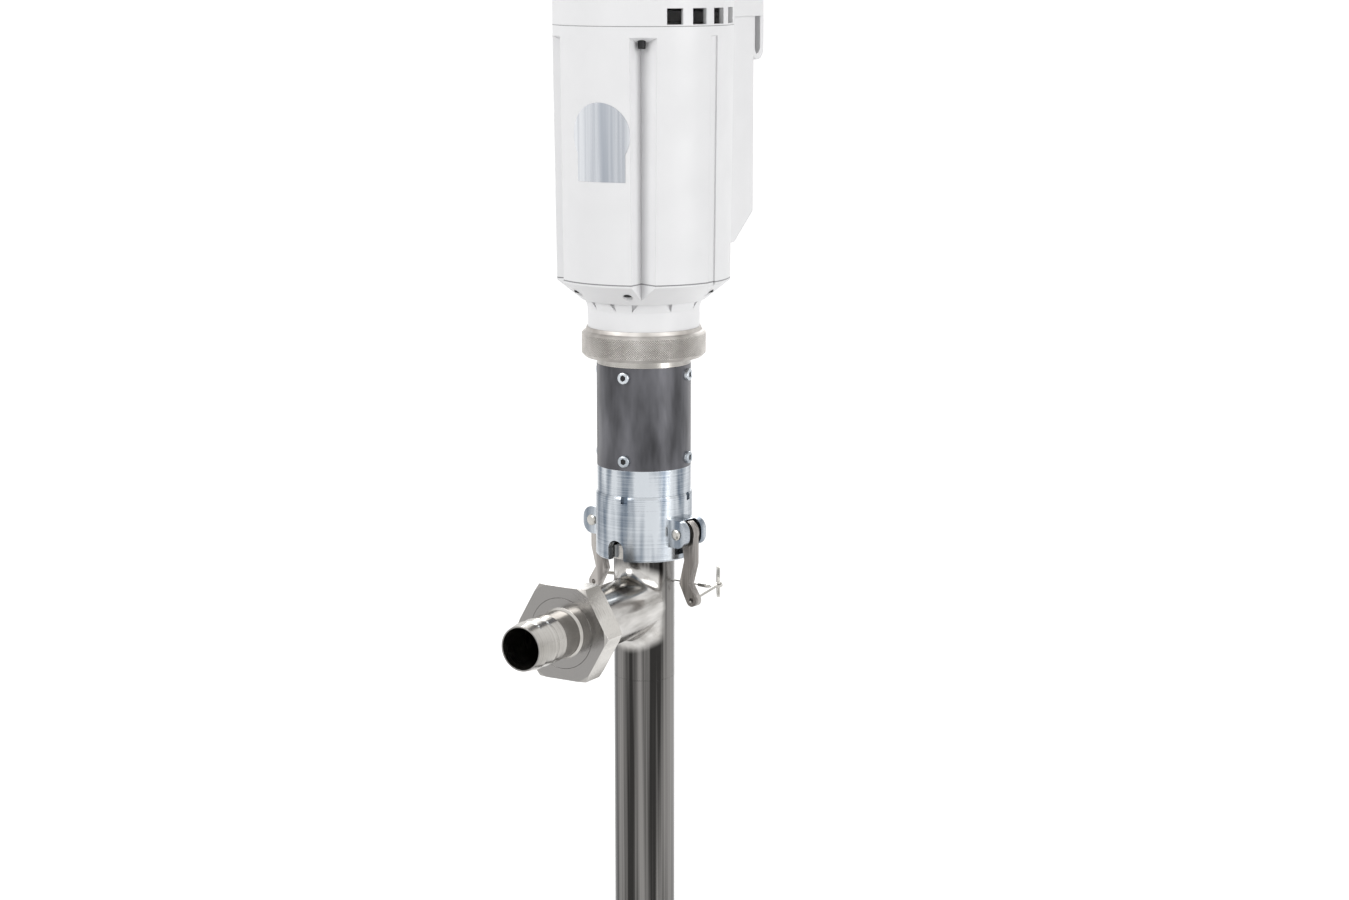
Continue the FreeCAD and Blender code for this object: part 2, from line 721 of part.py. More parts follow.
def coupler_body():
    """The socket with two pairs of ears, a cam window in each and a notch at its mouth."""
    shell = turned("coupler_shell", [
        (0, "coupler_low"), ("coupler_od / 2 - coupler_chamfer", "coupler_low"),
        ("coupler_od / 2", "coupler_low + coupler_chamfer"), ("coupler_od / 2", "coupler_high"),
        (0, "coupler_high")])
    solids, tools = [shell], []
    low, high = "pivot_z - ear_half_height", "pivot_z + ear_half_height"
    tip = "pivot_radius + ear_reach"
    for number in range(2):
        turn = "lever_turn + %d * 180" % number
        ear = slab("ear_%d" % number, [
            ("coupler_bore / 2", low), ("pivot_radius", low, "ear_reach"), (tip, "pivot_z - 2"),
            (tip, "pivot_z + 2", "ear_reach"), ("pivot_radius", high), ("coupler_bore / 2", high)],
            "XZ_Plane", "ear_width")
        solids.append(place(ear, turn=turn))
        tools.append(block("window_%d" % number, ("adapter_bore / 2", "-ear_gap / 2", "pivot_z - window_drop"),
                           ("pivot_radius * 2", "ear_gap / 2", "pivot_z + window_rise"), turn))
        hole = rod("pivot_hole_%d" % number, "pivot_pin / 2", "ear_width * 2",
                   x="pivot_radius", y="ear_width", z="pivot_z", turn="90", axis=(1, 0, 0))
        tools.append(turned_about("pivot_hole_place_%d" % number, hole, turn))
    tools += [
        rod("coupler_bore_tool", "coupler_bore / 2", "coupler_height - coupler_top", z="coupler_low"),
        rod("coupler_neck_tool", "coupler_bore / 2 - gasket_width - 1", "coupler_height", z="coupler_low")]
    arch = rod("notch_arch", "notch_width / 2", "coupler_od",
               z="coupler_low + notch_height - notch_width / 2", turn="90", axis=(1, 0, 0))
    gate = block("notch_gate", ("-notch_width / 2", "-coupler_od", "coupler_low - 1"),
                 ("notch_width / 2", "0", "coupler_low + notch_height - notch_width / 2"))
    tools.append(turned_about("notch", joined("notch_shape", arch, gate), "notch_turn"))
    keep(cut("coupler_cut", joined("coupler_solid", *solids), *tools), "coupler_body")
    gasket = ring("gasket_body", "coupler_bore / 2", "coupler_bore / 2 - gasket_width",
                  "adapter_high", "coupler_high - coupler_top")
    keep(gasket, "coupler_gasket")


def cam_levers():
    """Two levers, each a cam on a pivot pin, a bar and a cranked foot with a hole."""
    pins = []
    across = "foot_radius * cos(foot_tilt)"
    along = "foot_radius * sin(foot_tilt)"
    for number, side in enumerate(("right", "left")):
        turn = "lever_turn + %d * 180" % number
        bar = slab("lever_bar_" + side, [
            ("lever_outer", 0), ("lever_outer", "-lever_straight"), ("elbow_outer", "-elbow_drop"),
            ("foot_reach + " + across, "-foot_drop + " + along, "-foot_radius"),
            ("foot_reach - " + across, "-foot_drop - " + along),
            ("elbow_inner", "-elbow_drop - 1"), ("lever_inner", "-lever_inner_drop"), ("-4", 0)],
            "XZ_Plane", "lever_thickness")
        head = rod("lever_head_" + side, "lever_head", "lever_thickness",
                   y="lever_thickness / 2", turn="90", axis=(1, 0, 0))
        disc = rod("lobe_disc_" + side, "lobe_radius", "lever_thickness",
                   y="lever_thickness / 2", turn="90", axis=(1, 0, 0))
        window = block("lobe_window_" + side, ("-lobe_radius - 1", "-lever_thickness", "-lobe_half_height"),
                       ("0", "lever_thickness", "lobe_half_height"))
        solid = joined("lever_solid_" + side, bar, head, common("lobe_" + side, disc, window))
        bore = rod("lever_bore_" + side, "pivot_pin / 2 + running_gap", "lever_thickness * 2",
                   y="lever_thickness", turn="90", axis=(1, 0, 0))
        hole = rod("lever_hole_" + side, "foot_hole / 2", "lever_thickness * 2",
                   x="foot_reach", y="lever_thickness", z="-foot_drop", turn="90", axis=(1, 0, 0))
        shape = cut("lever_cut_" + side, solid, bore, hole)
        place(shape, x="pivot_radius", z="pivot_z")
        keep(turned_about("lever_place_" + side, shape, turn), "cam_lever_" + side)
        pin = rod("pivot_pin_" + side, "pivot_pin / 2", "pivot_pin_length",
                  x="pivot_radius", y="pivot_pin_length / 2", z="pivot_z", turn="90", axis=(1, 0, 0))
        pins.append(turned_about("pivot_pin_place_" + side, pin, turn))
    keep(grouped("pivot_pin_pair", *pins), "pivot_pins")


def ring_pin():
    """The pin that leans in the right lever's foot, and the split ring through its end."""
    foot = {"x": "pivot_radius + foot_reach", "z": "pivot_z - foot_drop"}
    lean = {"turn": "ring_pin_lean - 90", "axis": (1, 0, 0)}
    bar = rod("ring_pin_bar", "ring_pin_diameter / 2", "ring_pin_reach + lever_thickness + ring_pin_tail",
              z="-lever_thickness / 2 - 1")
    flat = rod("ring_pin_flat", "ring_pin_eye / 2", "ring_pin_diameter", x="0",
               y="ring_pin_diameter / 2", z="ring_pin_reach", turn="90", axis=(1, 0, 0))
    hole = rod("ring_pin_hole", "split_ring_wire + split_ring_gap", "ring_pin_diameter * 3",
               y="ring_pin_diameter * 1.5", z="ring_pin_reach", turn="90", axis=(1, 0, 0))
    shape = place(cut("ring_pin_cut", joined("ring_pin_fuse", bar, flat), hole), **lean)
    held = grouped("ring_pin_held", shape)
    keep(turned_about("ring_pin_place", place(held, **foot), "lever_turn"), "ring_pin")

    coils = []
    for number in range(2):
        coil = doc.addObject("Part::Torus", "split_coil_%d" % number)
        coil.setExpression("Radius1", bound("(split_ring_diameter - split_ring_wire) / 2"))
        coil.setExpression("Radius2", bound("split_ring_wire / 2"))
        coils.append(place(coil, z="(%d - 0.5) * split_ring_wire * 0.9" % number))
    pair = grouped("split_ring_upright", place(joined("split_ring_fuse", *coils), x="0",
                   turn="90", axis=(0, 1, 0)))
    place(pair, y="(split_ring_diameter - split_ring_wire) / 2")
    swung = place(grouped("split_ring_swung", pair), turn="split_ring_turn",
                  x="pivot_radius + foot_reach", y="ring_pin_reach * cos(ring_pin_lean)",
                  z="pivot_z - foot_drop + ring_pin_reach * sin(ring_pin_lean)")
    keep(turned_about("split_ring_place", swung, "lever_turn"), "split_ring")


def keeper():
    """A steel wire drawn round the back of the tube, with a ferrule and an eye at each end."""
    radius, bend = value("keeper_wire") / 2, value("tube_r + keeper_wire / 2 + 0.3")
    height = value("keeper_z")
    end = Vector(value("keeper_reach"), value("keeper_set_back"), height)
    spread = math.atan2(end.y, end.x) + math.acos(bend / math.hypot(end.x, end.y))
    leave = Vector(bend * math.cos(spread), bend * math.sin(spread), height)
    mirror = [Vector(-spot.x, spot.y, spot.z) for spot in (end, leave)]
    path = Part.Wire([
        Part.LineSegment(end, leave).toShape(),
        Part.Arc(leave, Vector(0, bend, height), mirror[1]).toShape(),
        Part.LineSegment(mirror[1], mirror[0]).toShape()])
    solid = path.makePipeShell([Part.Wire([Part.Circle(end, leave - end, radius).toShape()])], True, False)
    thick, length, eye = value("keeper_ferrule") / 2, value("keeper_ferrule_length"), value("keeper_eye") / 2
    for tip, inward in ((end, leave - end), (mirror[0], mirror[1] - mirror[0])):
        along = inward.normalize()
        ferrule = Part.makeCylinder(thick, length, tip, along)
        loop = Part.makeTorus(eye, radius, tip - along * eye, Vector(0, 0, 1))
        solid = solid.fuse([ferrule, loop])
    keep(drawn("keeper_body", solid.removeSplitter()), "keeper_wire")


# Reducer
def sleeve_screw_set(name, radius, start, length, head=None):
    """Radial screws, or their holes, round both ends of the reducer sleeve."""
    items = []
    for row, height in enumerate(("band_high + screw_inset", "sleeve_high - screw_inset")):
        for number in range(4):
            label = "%s_%d_%d" % (name, row, number)
            shank = rod(label, radius, length, x=start, z=height, turn="90", axis=(0, 1, 0))
            if head:
                cap = rod(label + "_head", "screw_head / 2", "screw_head_height", x="sleeve_od / 2",
                          z=height, turn="90", axis=(0, 1, 0))
                shank = joined(label + "_screw", shank, cap)
            items.append(turned_about(label + "_place", shank, "sleeve_turn + %d * 90 - 90" % number))
    return items


def reducer_case():
    """The lock ring, the two end flanges and the black sleeve screwed to them."""
    blank = turned("lock_ring_blank", [
        ("spigot_od / 2", "coupler_high"), ("coupler_od / 2", "coupler_high"),
        ("coupler_od / 2", "ring_high - lock_ring_chamfer"),
        ("coupler_od / 2 - lock_ring_chamfer / 2", "ring_high"), ("spigot_od / 2", "ring_high")])
    slots = [block("lock_slot_%d" % number,
                   ("coupler_od / 2 - lock_slot_depth", "-lock_slot_width / 2", "ring_high - lock_slot_height"),
                   ("coupler_od", "lock_slot_width / 2", "ring_high + 1"), "sleeve_turn + %d * 90 - 90" % number)
             for number in range(4)]
    keep(cut("lock_ring_cut", blank, *slots), "lock_ring")

    holes = sleeve_screw_set("screw_hole", "screw_shank / 2", "sleeve_bore / 2 - screw_depth", "screw_depth * 2")
    drilled = joined("screw_holes", *holes)
    flange = turned("output_flange_blank", [
        ("oil_seal_od / 2", "coupler_high"), ("spigot_od / 2", "coupler_high"), ("spigot_od / 2", "ring_high"),
        ("band_od / 2", "ring_high"), ("band_od / 2", "band_high"), ("sleeve_bore / 2", "band_high"),
        ("sleeve_bore / 2", "band_high + sleeve_spigot"), ("bearing_od / 2", "band_high + sleeve_spigot"),
        ("bearing_od / 2", "ring_high + 1"), ("oil_seal_od / 2", "ring_high + 1")])
    keep(cut("output_flange_cut", flange, drilled), "output_flange")
    seal = ring("output_seal_body", "oil_seal_od / 2", "output_shaft / 2 + running_gap",
                "ring_high - oil_seal_height", "ring_high")
    keep(seal, "output_seal")
    rings = [ring("output_bearing_%d" % number, "bearing_od / 2", "output_shaft / 2 + running_gap", low,
                  low + " + bearing_width")
             for number, low in enumerate(("ring_high + 3", "band_high + sleeve_spigot - bearing_width - 1"))]
    keep(grouped("output_bearing_pair", *rings), "output_bearings")

    sleeve = ring("sleeve_blank", "sleeve_od / 2", "sleeve_bore / 2", "band_high", "sleeve_high")
    keep(cut("sleeve_cut", sleeve, drilled), "reducer_sleeve")
    screws = sleeve_screw_set("sleeve_screw", "screw_shank / 2", "sleeve_bore / 2 - screw_depth + 1",
                              "sleeve_od / 2 - sleeve_bore / 2 + screw_depth - 1", head=True)
    keep(grouped("sleeve_screw_group", *screws), "sleeve_screws")

    flange = turned("input_flange_blank", [
        ("motor_shaft / 2 + 6", "sleeve_high - sleeve_spigot"), ("sleeve_bore / 2", "sleeve_high - sleeve_spigot"),
        ("sleeve_bore / 2", "sleeve_high"), ("lip_od / 2", "sleeve_high"), ("lip_od / 2", "flange_low"),
        ("clamp_flange_od / 2", "flange_low"), ("clamp_flange_od / 2", "bell_low"),
        ("motor_shaft / 2 + 6", "bell_low")])
    keep(cut("input_flange_cut", flange, drilled), "input_flange")


def involute(angle):
    """The involute function of an angle in radians."""
    return math.tan(angle) - angle


def gear_outline(teeth, tip, root, slack, first):
    """A closed wire of straight-sided steps along involute teeth, one of them at angle first."""
    module, pressure = value("gear_module"), math.radians(20)
    pitch = module * teeth / 2
    base = pitch * math.cos(pressure)
    half = math.pi / (2 * teeth) - slack / (2 * pitch)
    start = max(base, root)
    radii = [start + (tip - start) * step / 3 for step in range(4)]
    if root < base:
        radii.insert(0, root)
    flank = []
    for radius in radii:
        lean = involute(math.acos(min(base / radius, 1)))
        flank.append((radius, half + involute(pressure) - lean))
    points = []
    for tooth in range(teeth):
        centre = first + 2 * math.pi * tooth / teeth
        for side, steps in ((-1, flank), (1, flank[::-1])):
            for radius, spread in steps:
                angle = centre + side * spread
                points.append(Vector(radius * math.cos(angle), radius * math.sin(angle), 0))
    return Part.makePolygon(points + points[:1])


def gear_blank(wire, low, high):
    """A gear's solid between two heights."""
    solid = Part.Face(wire).extrude(Vector(0, 0, high - low))
    solid.translate(Vector(0, 0, low))
    return solid


def gear_stage():
    """Sun, three planets and a fixed ring gear, in mesh, with the carrier below them."""
    low, high = value("gear_low"), value("gear_high")
    addendum, dedendum = value("gear_addendum"), value("gear_dedendum")
    slack = value("gear_backlash") / 2
    teeth = {name: int(round(value(name + "_teeth"))) for name in ("sun", "planet", "ring")}
    pitch = {name: value("gear_module") * count / 2 for name, count in teeth.items()}

    gap = gear_outline(teeth["ring"], pitch["ring"] + dedendum, pitch["ring"] - addendum, -slack, 0)
    rim = Part.makeCylinder(value("sleeve_bore / 2"), high - low, Vector(0, 0, low))
    keep(drawn("ring_gear_body", rim.cut(gear_blank(gap, low - 1, high + 1))), "ring_gear")

    wire = gear_outline(teeth["sun"], pitch["sun"] + addendum, pitch["sun"] - dedendum, slack,
                        math.pi / teeth["sun"])
    keep(drawn("sun_gear_body", gear_blank(wire, low, high)), "sun_gear")

    wire = gear_outline(teeth["planet"], pitch["planet"] + addendum, pitch["planet"] - dedendum, slack, 0)
    bore = Part.makeCylinder(value("planet_pin / 2 + running_gap"), high - low, Vector(0, 0, low))
    planet = gear_blank(wire, low, high).cut(bore)
    count = SIZES["planet_count"]
    pins = []
    for number in range(count):
        angle = 360 / count * number
        gear = drawn("planet_gear_body_%d" % (number + 1), planet)
        around = Rotation(Vector(0, 0, 1), angle)
        gear.Placement = Placement(around.multVec(Vector(value("carrier_r"), 0, 0)), around)
        keep(gear, "planet_gear_%d" % (number + 1))
        pin = rod("planet_pin_%d" % (number + 1), "planet_pin / 2", "gear_high + 1 - carrier_low",
                  x="carrier_r", z="carrier_low")
        pins.append(turned_about("planet_pin_place_%d" % (number + 1), pin, "%g" % angle))
    keep(grouped("planet_pin_group", *pins), "planet_pins")

    disc = turned("carrier_blank", [
        (0, "dog_floor"), ("output_shaft / 2", "dog_floor"), ("output_shaft / 2", "carrier_low"),
        ("carrier_r + planet_pin / 2 + carrier_rim", "carrier_low"),
        ("carrier_r + planet_pin / 2 + carrier_rim", "carrier_high"), (0, "carrier_high")])
    keep(cut("carrier_cut", disc, *pins), "planet_carrier")

    dog = turned("dog_blank", [
        (0, "dog_low"), ("dog_diameter / 2", "dog_low"), ("dog_diameter / 2", "dog_high"),
        ("output_shaft / 2", "dog_high"), ("output_shaft / 2", "dog_floor"), (0, "dog_floor")])
    socket = doc.addObject("Part::Prism", "dog_socket_tool")
    socket.Polygon = 6
    socket.setExpression("Circumradius", bound("shaft_hex / 2 + socket_gap"))
    socket.setExpression("Height", bound("dog_socket + 1"))
    place(socket, z="dog_low - 1")
    keep(cut("dog_cut", dog, socket), "drive_dog")


# Motor
def collar_nut():
    """The knurled nut whose lip pulls the reducer's flange up to the motor's neck."""
    nut = turned("collar_body", [
        ("lip_od / 2 + thread_gap", "lip_high"), ("collar_od / 2 - 3", "lip_high"),
        ("collar_od / 2", "lip_high + 3"), ("collar_od / 2", "collar_high - 5.5"),
        ("collar_od / 2 - 1.5", "collar_high - 4"), ("collar_top_od / 2", "collar_high - 3"),
        ("collar_top_od / 2 - 1", "collar_high"), ("neck_od / 2 + thread_gap", "collar_high"),
        ("neck_od / 2 + thread_gap", "flange_low - 0.3"), ("lip_od / 2 + thread_gap", "flange_low - 0.3")])
    keep(nut, "collar_nut")


def v_groove(name, turn, hand, margin):
    """The void of one long V-groove, or the solid left round it and above its sloping roof."""
    wedge = doc.addObject("Part::Wedge", name)
    top, grow = "housing_height + bell_height + 10", "(%s) * 1.6 + 6" % margin
    front, back = "groove_width_front + " + grow, "groove_width_back + " + grow
    sizes = {
        "Xmin": "-(%s)" % (back if hand > 0 else front), "Xmax": front if hand > 0 else back,
        "Ymin": "0", "Ymax": "groove_depth + 8 + (%s)" % margin,
        "Zmin": "0", "Zmax": top if margin != "0" else top + " - groove_top_drop",
        "X2min": "-0.8 * %d" % hand, "X2max": "-0.8 * %d" % hand,
        "Z2min": "0", "Z2max": top if margin != "0" else top + " - groove_top_drop - groove_roof"}
    for side, formula in sizes.items():
        wedge.setExpression(side, bound(formula))
    wedge.Placement = Placement(Vector(), Rotation(Vector(0, 0, 1), 0))
    wedge.setExpression("Placement.Base.y", bound("-housing_od_high / 2 - 8"))
    wedge.setExpression("Placement.Base.z", bound("neck_high - 10"))
    return turned_about(name + "_place", wedge, turn)


def groove_set(name, margin="0"):
    """The two large V-grooves either side of the motor's front."""
    return [v_groove("%s_%d" % (name, hand), "motor_turn + %d * groove_turn" % hand, hand, margin)
            for hand in (1, -1)]


def side_grooves(name):
    """The two shallow grooves at the motor's sides, as deep at the top as at the foot."""
    grooves = []
    for hand in (1, -1):
        void = slab("%s_%d" % (name, hand), [
            ("-housing_od_high", "neck_high"), ("side_groove_depth - housing_od_low / 2", "neck_high"),
            ("side_groove_depth - housing_od_low / 2", "bell_high"),
            ("side_groove_depth - housing_od_high / 2", "housing_top - side_groove_drop"),
            ("-housing_od_high", "housing_top - side_groove_drop")], "YZ_Plane", "side_groove_width")
        grooves.append(turned_about("%s_place_%d" % (name, hand), void,
                                    "motor_turn + %d * side_groove_turn" % hand))
    return grooves


def neck_pockets():
    """The triangular pockets under the bell's ledge, in mirrored pairs."""
    pockets = []
    for number, (turn, hand) in enumerate((
            ("notch_front", -1), ("notch_front - notch_left", -1), ("notch_front + notch_right", 1),
            ("notch_front + notch_rib", -1), ("notch_front + notch_side", 1), ("-notch_front - notch_rib", 1),
            ("-notch_front - notch_side", -1), ("180 + notch_left", 1), ("180 - notch_right", -1))):
        top = "neck_high + ledge_rise"
        wedge = slab("neck_pocket_%d" % number, [
            ("-pocket_width / 2", top), ("-pocket_width / 2 * (%d)" % hand, top + " - pocket_height"),
            ("pocket_width / 2", top)], "XZ_Plane", "2 * pocket_depth")
        place(wedge, y="-neck_od / 2 - skirt_flare")
        pockets.append(turned_about("neck_pocket_place_%d" % number, wedge, "motor_turn + (%s)" % turn))
    return pockets


def case_holes(name, diameter, floor):
    """Upright blind holes in the bell's cone, or the bosses round them."""
    holes = []
    for number, turn in enumerate((
            "case_hole_turn", "-case_hole_turn", "case_hole_side", "-case_hole_side")):
        hole = rod("%s_%d" % (name, number), diameter + " / 2", "bell_height - (%s)" % floor,
                   y="-case_hole_reach", z="neck_high")
        holes.append(turned_about("%s_place_%d" % (name, number), hole, "motor_turn + " + turn))
    return holes


def motor_case():
    """End bell and housing, grooved as one, with troughs inside the V-grooves."""
    bell = turned("bell_blank", [
        (0, "bell_low"), ("neck_od / 2", "bell_low"), ("neck_od / 2", "neck_high - skirt_drop"),
        ("neck_od / 2 + skirt_flare", "neck_high + ledge_rise"), ("ledge_r", "neck_high + ledge_rise"),
        ("housing_od_low / 2", "bell_high - bell_rim"), ("housing_od_low / 2", "bell_high"), (0, "bell_high")])
    inside = turned("bell_void", [
        (0, "bell_low - 1"), ("motor_bearing_od / 2 - 4", "bell_low - 1"),
        ("motor_bearing_od / 2 - 4", "lower_bearing_low"), ("motor_bearing_od / 2", "lower_bearing_low"),
        ("motor_bearing_od / 2", "lower_bearing_low + motor_bearing_width"),
        ("neck_od / 2 - bell_wall", "lower_bearing_low + motor_bearing_width"),
        ("neck_od / 2 - bell_wall", "neck_high + 2"), ("housing_od_low / 2 - bell_wall", "bell_high"),
        ("housing_od_low / 2 - bell_wall", "bell_high + 1"), (0, "bell_high + 1")])
    kept = grouped("bell_kept", *groove_set("bell_trough", "groove_wall"),
                   *case_holes("case_boss_rod", "case_boss", "3"))
    tools = joined("bell_tools", cut("bell_hollow", inside, kept), *groove_set("bell_groove"),
                   *side_grooves("bell_side_groove"), *case_holes("case_hole_rod", "case_hole", "6"),
                   *neck_pockets())
    keep(cut("bell_cut", bell, tools), "end_bell")

    body = turned("housing_blank", [
        (0, "bell_high"), ("housing_od_low / 2", "bell_high"), ("housing_od_high / 2", "housing_top"),
        (0, "housing_top")])
    void = turned("housing_void", [
        (0, "bell_high - 1"), ("housing_od_low / 2 - shell_wall", "bell_high - 1"),
        ("housing_od_high / 2 - shell_wall", "housing_top + 1"), (0, "housing_top + 1")])
    troughs = grouped("trough_tools", *groove_set("trough", "groove_wall"))
    hollow = cut("housing_hollow", void, troughs)
    holes = tie_rods("tie_hole", "tie_screw_diameter / 2", "groove_top_drop + groove_roof + 2",
                     "groove_top_drop + groove_roof")
    tools = joined("housing_tools", *groove_set("housing_groove"), *side_grooves("housing_side_groove"),
                   *holes, hollow)
    keep(cut("housing_cut", body, tools), "motor_housing")


def motor_works():
    """Field, armature, commutator, brushes, fan and bearings on the motor's shaft."""
    keep(ring("field_body", "field_r", "field_bore / 2", "field_low", "field_high"), "field_core")
    bar = turned("motor_shaft_body", [
        (0, "gear_high"), ("sun_pitch_r - gear_dedendum - 0.4", "gear_high"),
        ("sun_pitch_r - gear_dedendum - 0.4", "gear_high + 4"), ("motor_shaft / 2", "gear_high + 4"),
        ("motor_shaft / 2", "upper_bearing_low + motor_bearing_width"),
        (0, "upper_bearing_low + motor_bearing_width")])
    keep(bar, "motor_shaft")
    keep(ring("armature_body", "armature_od / 2", "motor_shaft / 2", "field_low", "field_high"), "armature_core")
    keep(ring("commutator_body", "commutator_od / 2", "motor_shaft / 2", "commutator_low", "commutator_high"),
         "commutator")
    brushes, holders = [], []
    middle = "(commutator_low + commutator_high) / 2"
    for number in range(2):
        turn = "motor_turn + %d * 180" % number
        brushes.append(block("brush_%d" % number, (
            "commutator_od / 2 + 0.3", "-brush_width / 2", middle + " - brush_height / 2"), (
            "commutator_od / 2 + 0.3 + brush_length", "brush_width / 2", middle + " + brush_height / 2"), turn))
        tube = block("holder_%d" % number, (
            "commutator_od / 2 + 4", "-brush_width / 2 - 2", middle + " - brush_height / 2 - 2"), (
            "field_r", "brush_width / 2 + 2", middle + " + brush_height / 2 + 2"))
        slot = block("holder_slot_%d" % number, (
            "commutator_od / 2", "-brush_width / 2", middle + " - brush_height / 2"), (
            "commutator_od / 2 + 0.3 + brush_length", "brush_width / 2", middle + " + brush_height / 2"))
        holders.append(turned_about("holder_place_%d" % number, cut("holder_cut_%d" % number, tube, slot), turn))
    keep(grouped("brush_pair", *brushes), "carbon_brushes")
    keep(grouped("holder_pair", *holders), "brush_holders")

    seat = "upper_bearing_low"
    bridge = turned("bridge_body", [
        ("motor_bearing_od / 2", seat), ("field_r", seat), ("field_r", seat + " + bridge_height"),
        ("motor_bearing_od / 2 - 4", seat + " + motor_bearing_width + 3"),
        ("motor_bearing_od / 2 - 4", seat + " + motor_bearing_width"),
        ("motor_bearing_od / 2", seat + " + motor_bearing_width")])
    keep(bridge, "bearing_bridge")
    races = [ring("motor_bearing_%d" % number, "motor_bearing_od / 2", "motor_shaft / 2 + running_gap", low,
                  low + " + motor_bearing_width") for number, low in enumerate(("lower_bearing_low", seat))]
    keep(grouped("motor_bearing_pair", *races), "motor_bearings")

    low = "bell_high + 8"
    hub = ring("fan_hub", "motor_shaft / 2 + 8", "motor_shaft / 2", low, low + " + fan_height")
    plate = ring("fan_plate", "fan_od / 2", "motor_shaft / 2 + 8", low, low + " + 2")
    blades = [block("fan_blade_%d" % number, ("motor_shaft / 2 + 7", "-1", low + " + 1"),
                    ("fan_od / 2 - 1", "1", low + " + fan_height"), "%g" % (360 / SIZES["fan_blades"] * number))
              for number in range(SIZES["fan_blades"])]
    keep(joined("fan_fuse", hub, plate, *blades), "cooling_fan")


def motor_cap():
    """The cap with its side vents and the square tail that juts out over the rear cover."""
    top, edge = "cap_high", "housing_od_high / 2"
    crown = turned("cap_blank", [
        (0, "housing_top"), (edge, "housing_top"), (edge, top + " - cap_round - cap_crown", "cap_round"),
        ("crown_edge", top + " - cap_crown", "crown_r"), (0, top)])
    tail = slab("tail_blank", [
        ("-tail_half_width", "30"), ("tail_half_width", "30"),
        ("tail_half_width", "tail_reach - tail_corner", "tail_corner"),
        ("tail_half_width - tail_corner", "tail_reach"),
        ("tail_corner - tail_half_width", "tail_reach", "tail_corner"),
        ("-tail_half_width", "tail_reach - tail_corner")], "XY_Plane", "cap_high - tail_low - 8")
    place(tail, z="(tail_low + cap_high - 8) / 2")
    void = turned("cap_void", [
        (0, "housing_top - 1"), (edge + " - cap_wall", "housing_top - 1"),
        (edge + " - cap_wall", top + " - cap_round - cap_crown", "cap_round - cap_wall"),
        ("crown_edge", top + " - cap_crown - cap_wall"), (0, top + " - cap_crown - cap_wall")])
    hollow = slab("tail_void", [
        ("cap_wall - tail_half_width", "30"), ("tail_half_width - cap_wall", "30"),
        ("tail_half_width - cap_wall", "tail_reach - tail_corner", "tail_corner - cap_wall"),
        ("tail_half_width - tail_corner", "tail_reach - cap_wall"),
        ("tail_corner - tail_half_width", "tail_reach - cap_wall", "tail_corner - cap_wall"),
        ("cap_wall - tail_half_width", "tail_reach - tail_corner")], "XY_Plane",
        "cap_high - tail_low - 8 - 2 * cap_wall")
    place(hollow, z="(tail_low + cap_high - 8) / 2")
    tools = [void, hollow]
    sill = "housing_top + vent_sill"
    for hand in (1, -1):
        for number in range(SIZES["vents_a_side"]):
            tools.append(block("vent_%d_%d" % (hand, number), ("-vent_width / 2", "-housing_od_high", sill),
                               ("vent_width / 2", "-housing_od_high / 4", sill + " + vent_height"),
                               "%d * (vent_start + %d * vent_pitch)" % (hand, number)))
    shape = cut("cap_cut", joined("cap_solid", crown, tail), *tools)
    keep(turned_about("cap_place", shape, "motor_turn"), "motor_cap")


def rear_cover():
    """The box down the motor's back, with a sloping foot and a rocker switch in its face."""
    def side(grow):
        near, far = "housing_od_low / 2 - 12", "cover_reach - (%s)" % grow
        floor = "cover_floor + (%s)" % grow
        return [(near, floor), ("housing_od_low / 2", floor), (far, floor + " + cover_slope"),
                (far, "tail_low - (%s)" % grow), (near, "tail_low - (%s)" % grow)]

    box = slab("cover_blank", side("0"), "YZ_Plane", "2 * cover_half_width")
    void = slab("cover_void", side("cover_wall"), "YZ_Plane", "2 * (cover_half_width - cover_wall)")
    cone = turned("cover_cone", [
        (0, "bell_high"), ("housing_od_low / 2", "bell_high"), ("housing_od_high / 2", "housing_top"),
        ("housing_od_high / 2", "tail_low + 1"), (0, "tail_low + 1")])
    middle = "cover_floor + switch_rise"
    hole = block("switch_hole", (
        "-switch_width / 2 - switch_gap", "cover_reach - 2 * cover_wall",
        middle + " - switch_height / 2 - switch_gap"), (
        "switch_width / 2 + switch_gap", "cover_reach + 1", middle + " + switch_height / 2 + switch_gap"))
    inlet = rod("inlet_hole", "inlet_diameter / 2", "inlet_length",
                y="cover_reach - inlet_inset", z="cover_floor - 4")
    shape = cut("cover_cut", box, void, cone, hole, inlet)
    keep(turned_about("cover_place", shape, "motor_turn"), "rear_cover")

    foot, head = middle + " - switch_height / 2", middle + " + switch_height / 2"
    rocker = slab("rocker_blank", [
        ("cover_reach - 8", foot + " + 1"), ("cover_reach - 1", foot),
        ("cover_reach + switch_proud", foot + " + 2"), ("cover_reach + 1", middle),
        ("cover_reach + 1", head + " - 1"), ("cover_reach - 8", head + " - 3")], "YZ_Plane", "switch_width")
    pivot = rod("rocker_pivot", "switch_pivot / 2", "switch_width + switch_gap",
                x="-(switch_width + switch_gap) / 2", y="cover_reach - switch_pivot_inset", z=middle,
                turn="90", axis=(0, 1, 0))
    keep(turned_about("rocker_place", joined("rocker_fuse", rocker, pivot), "motor_turn"), "power_switch")


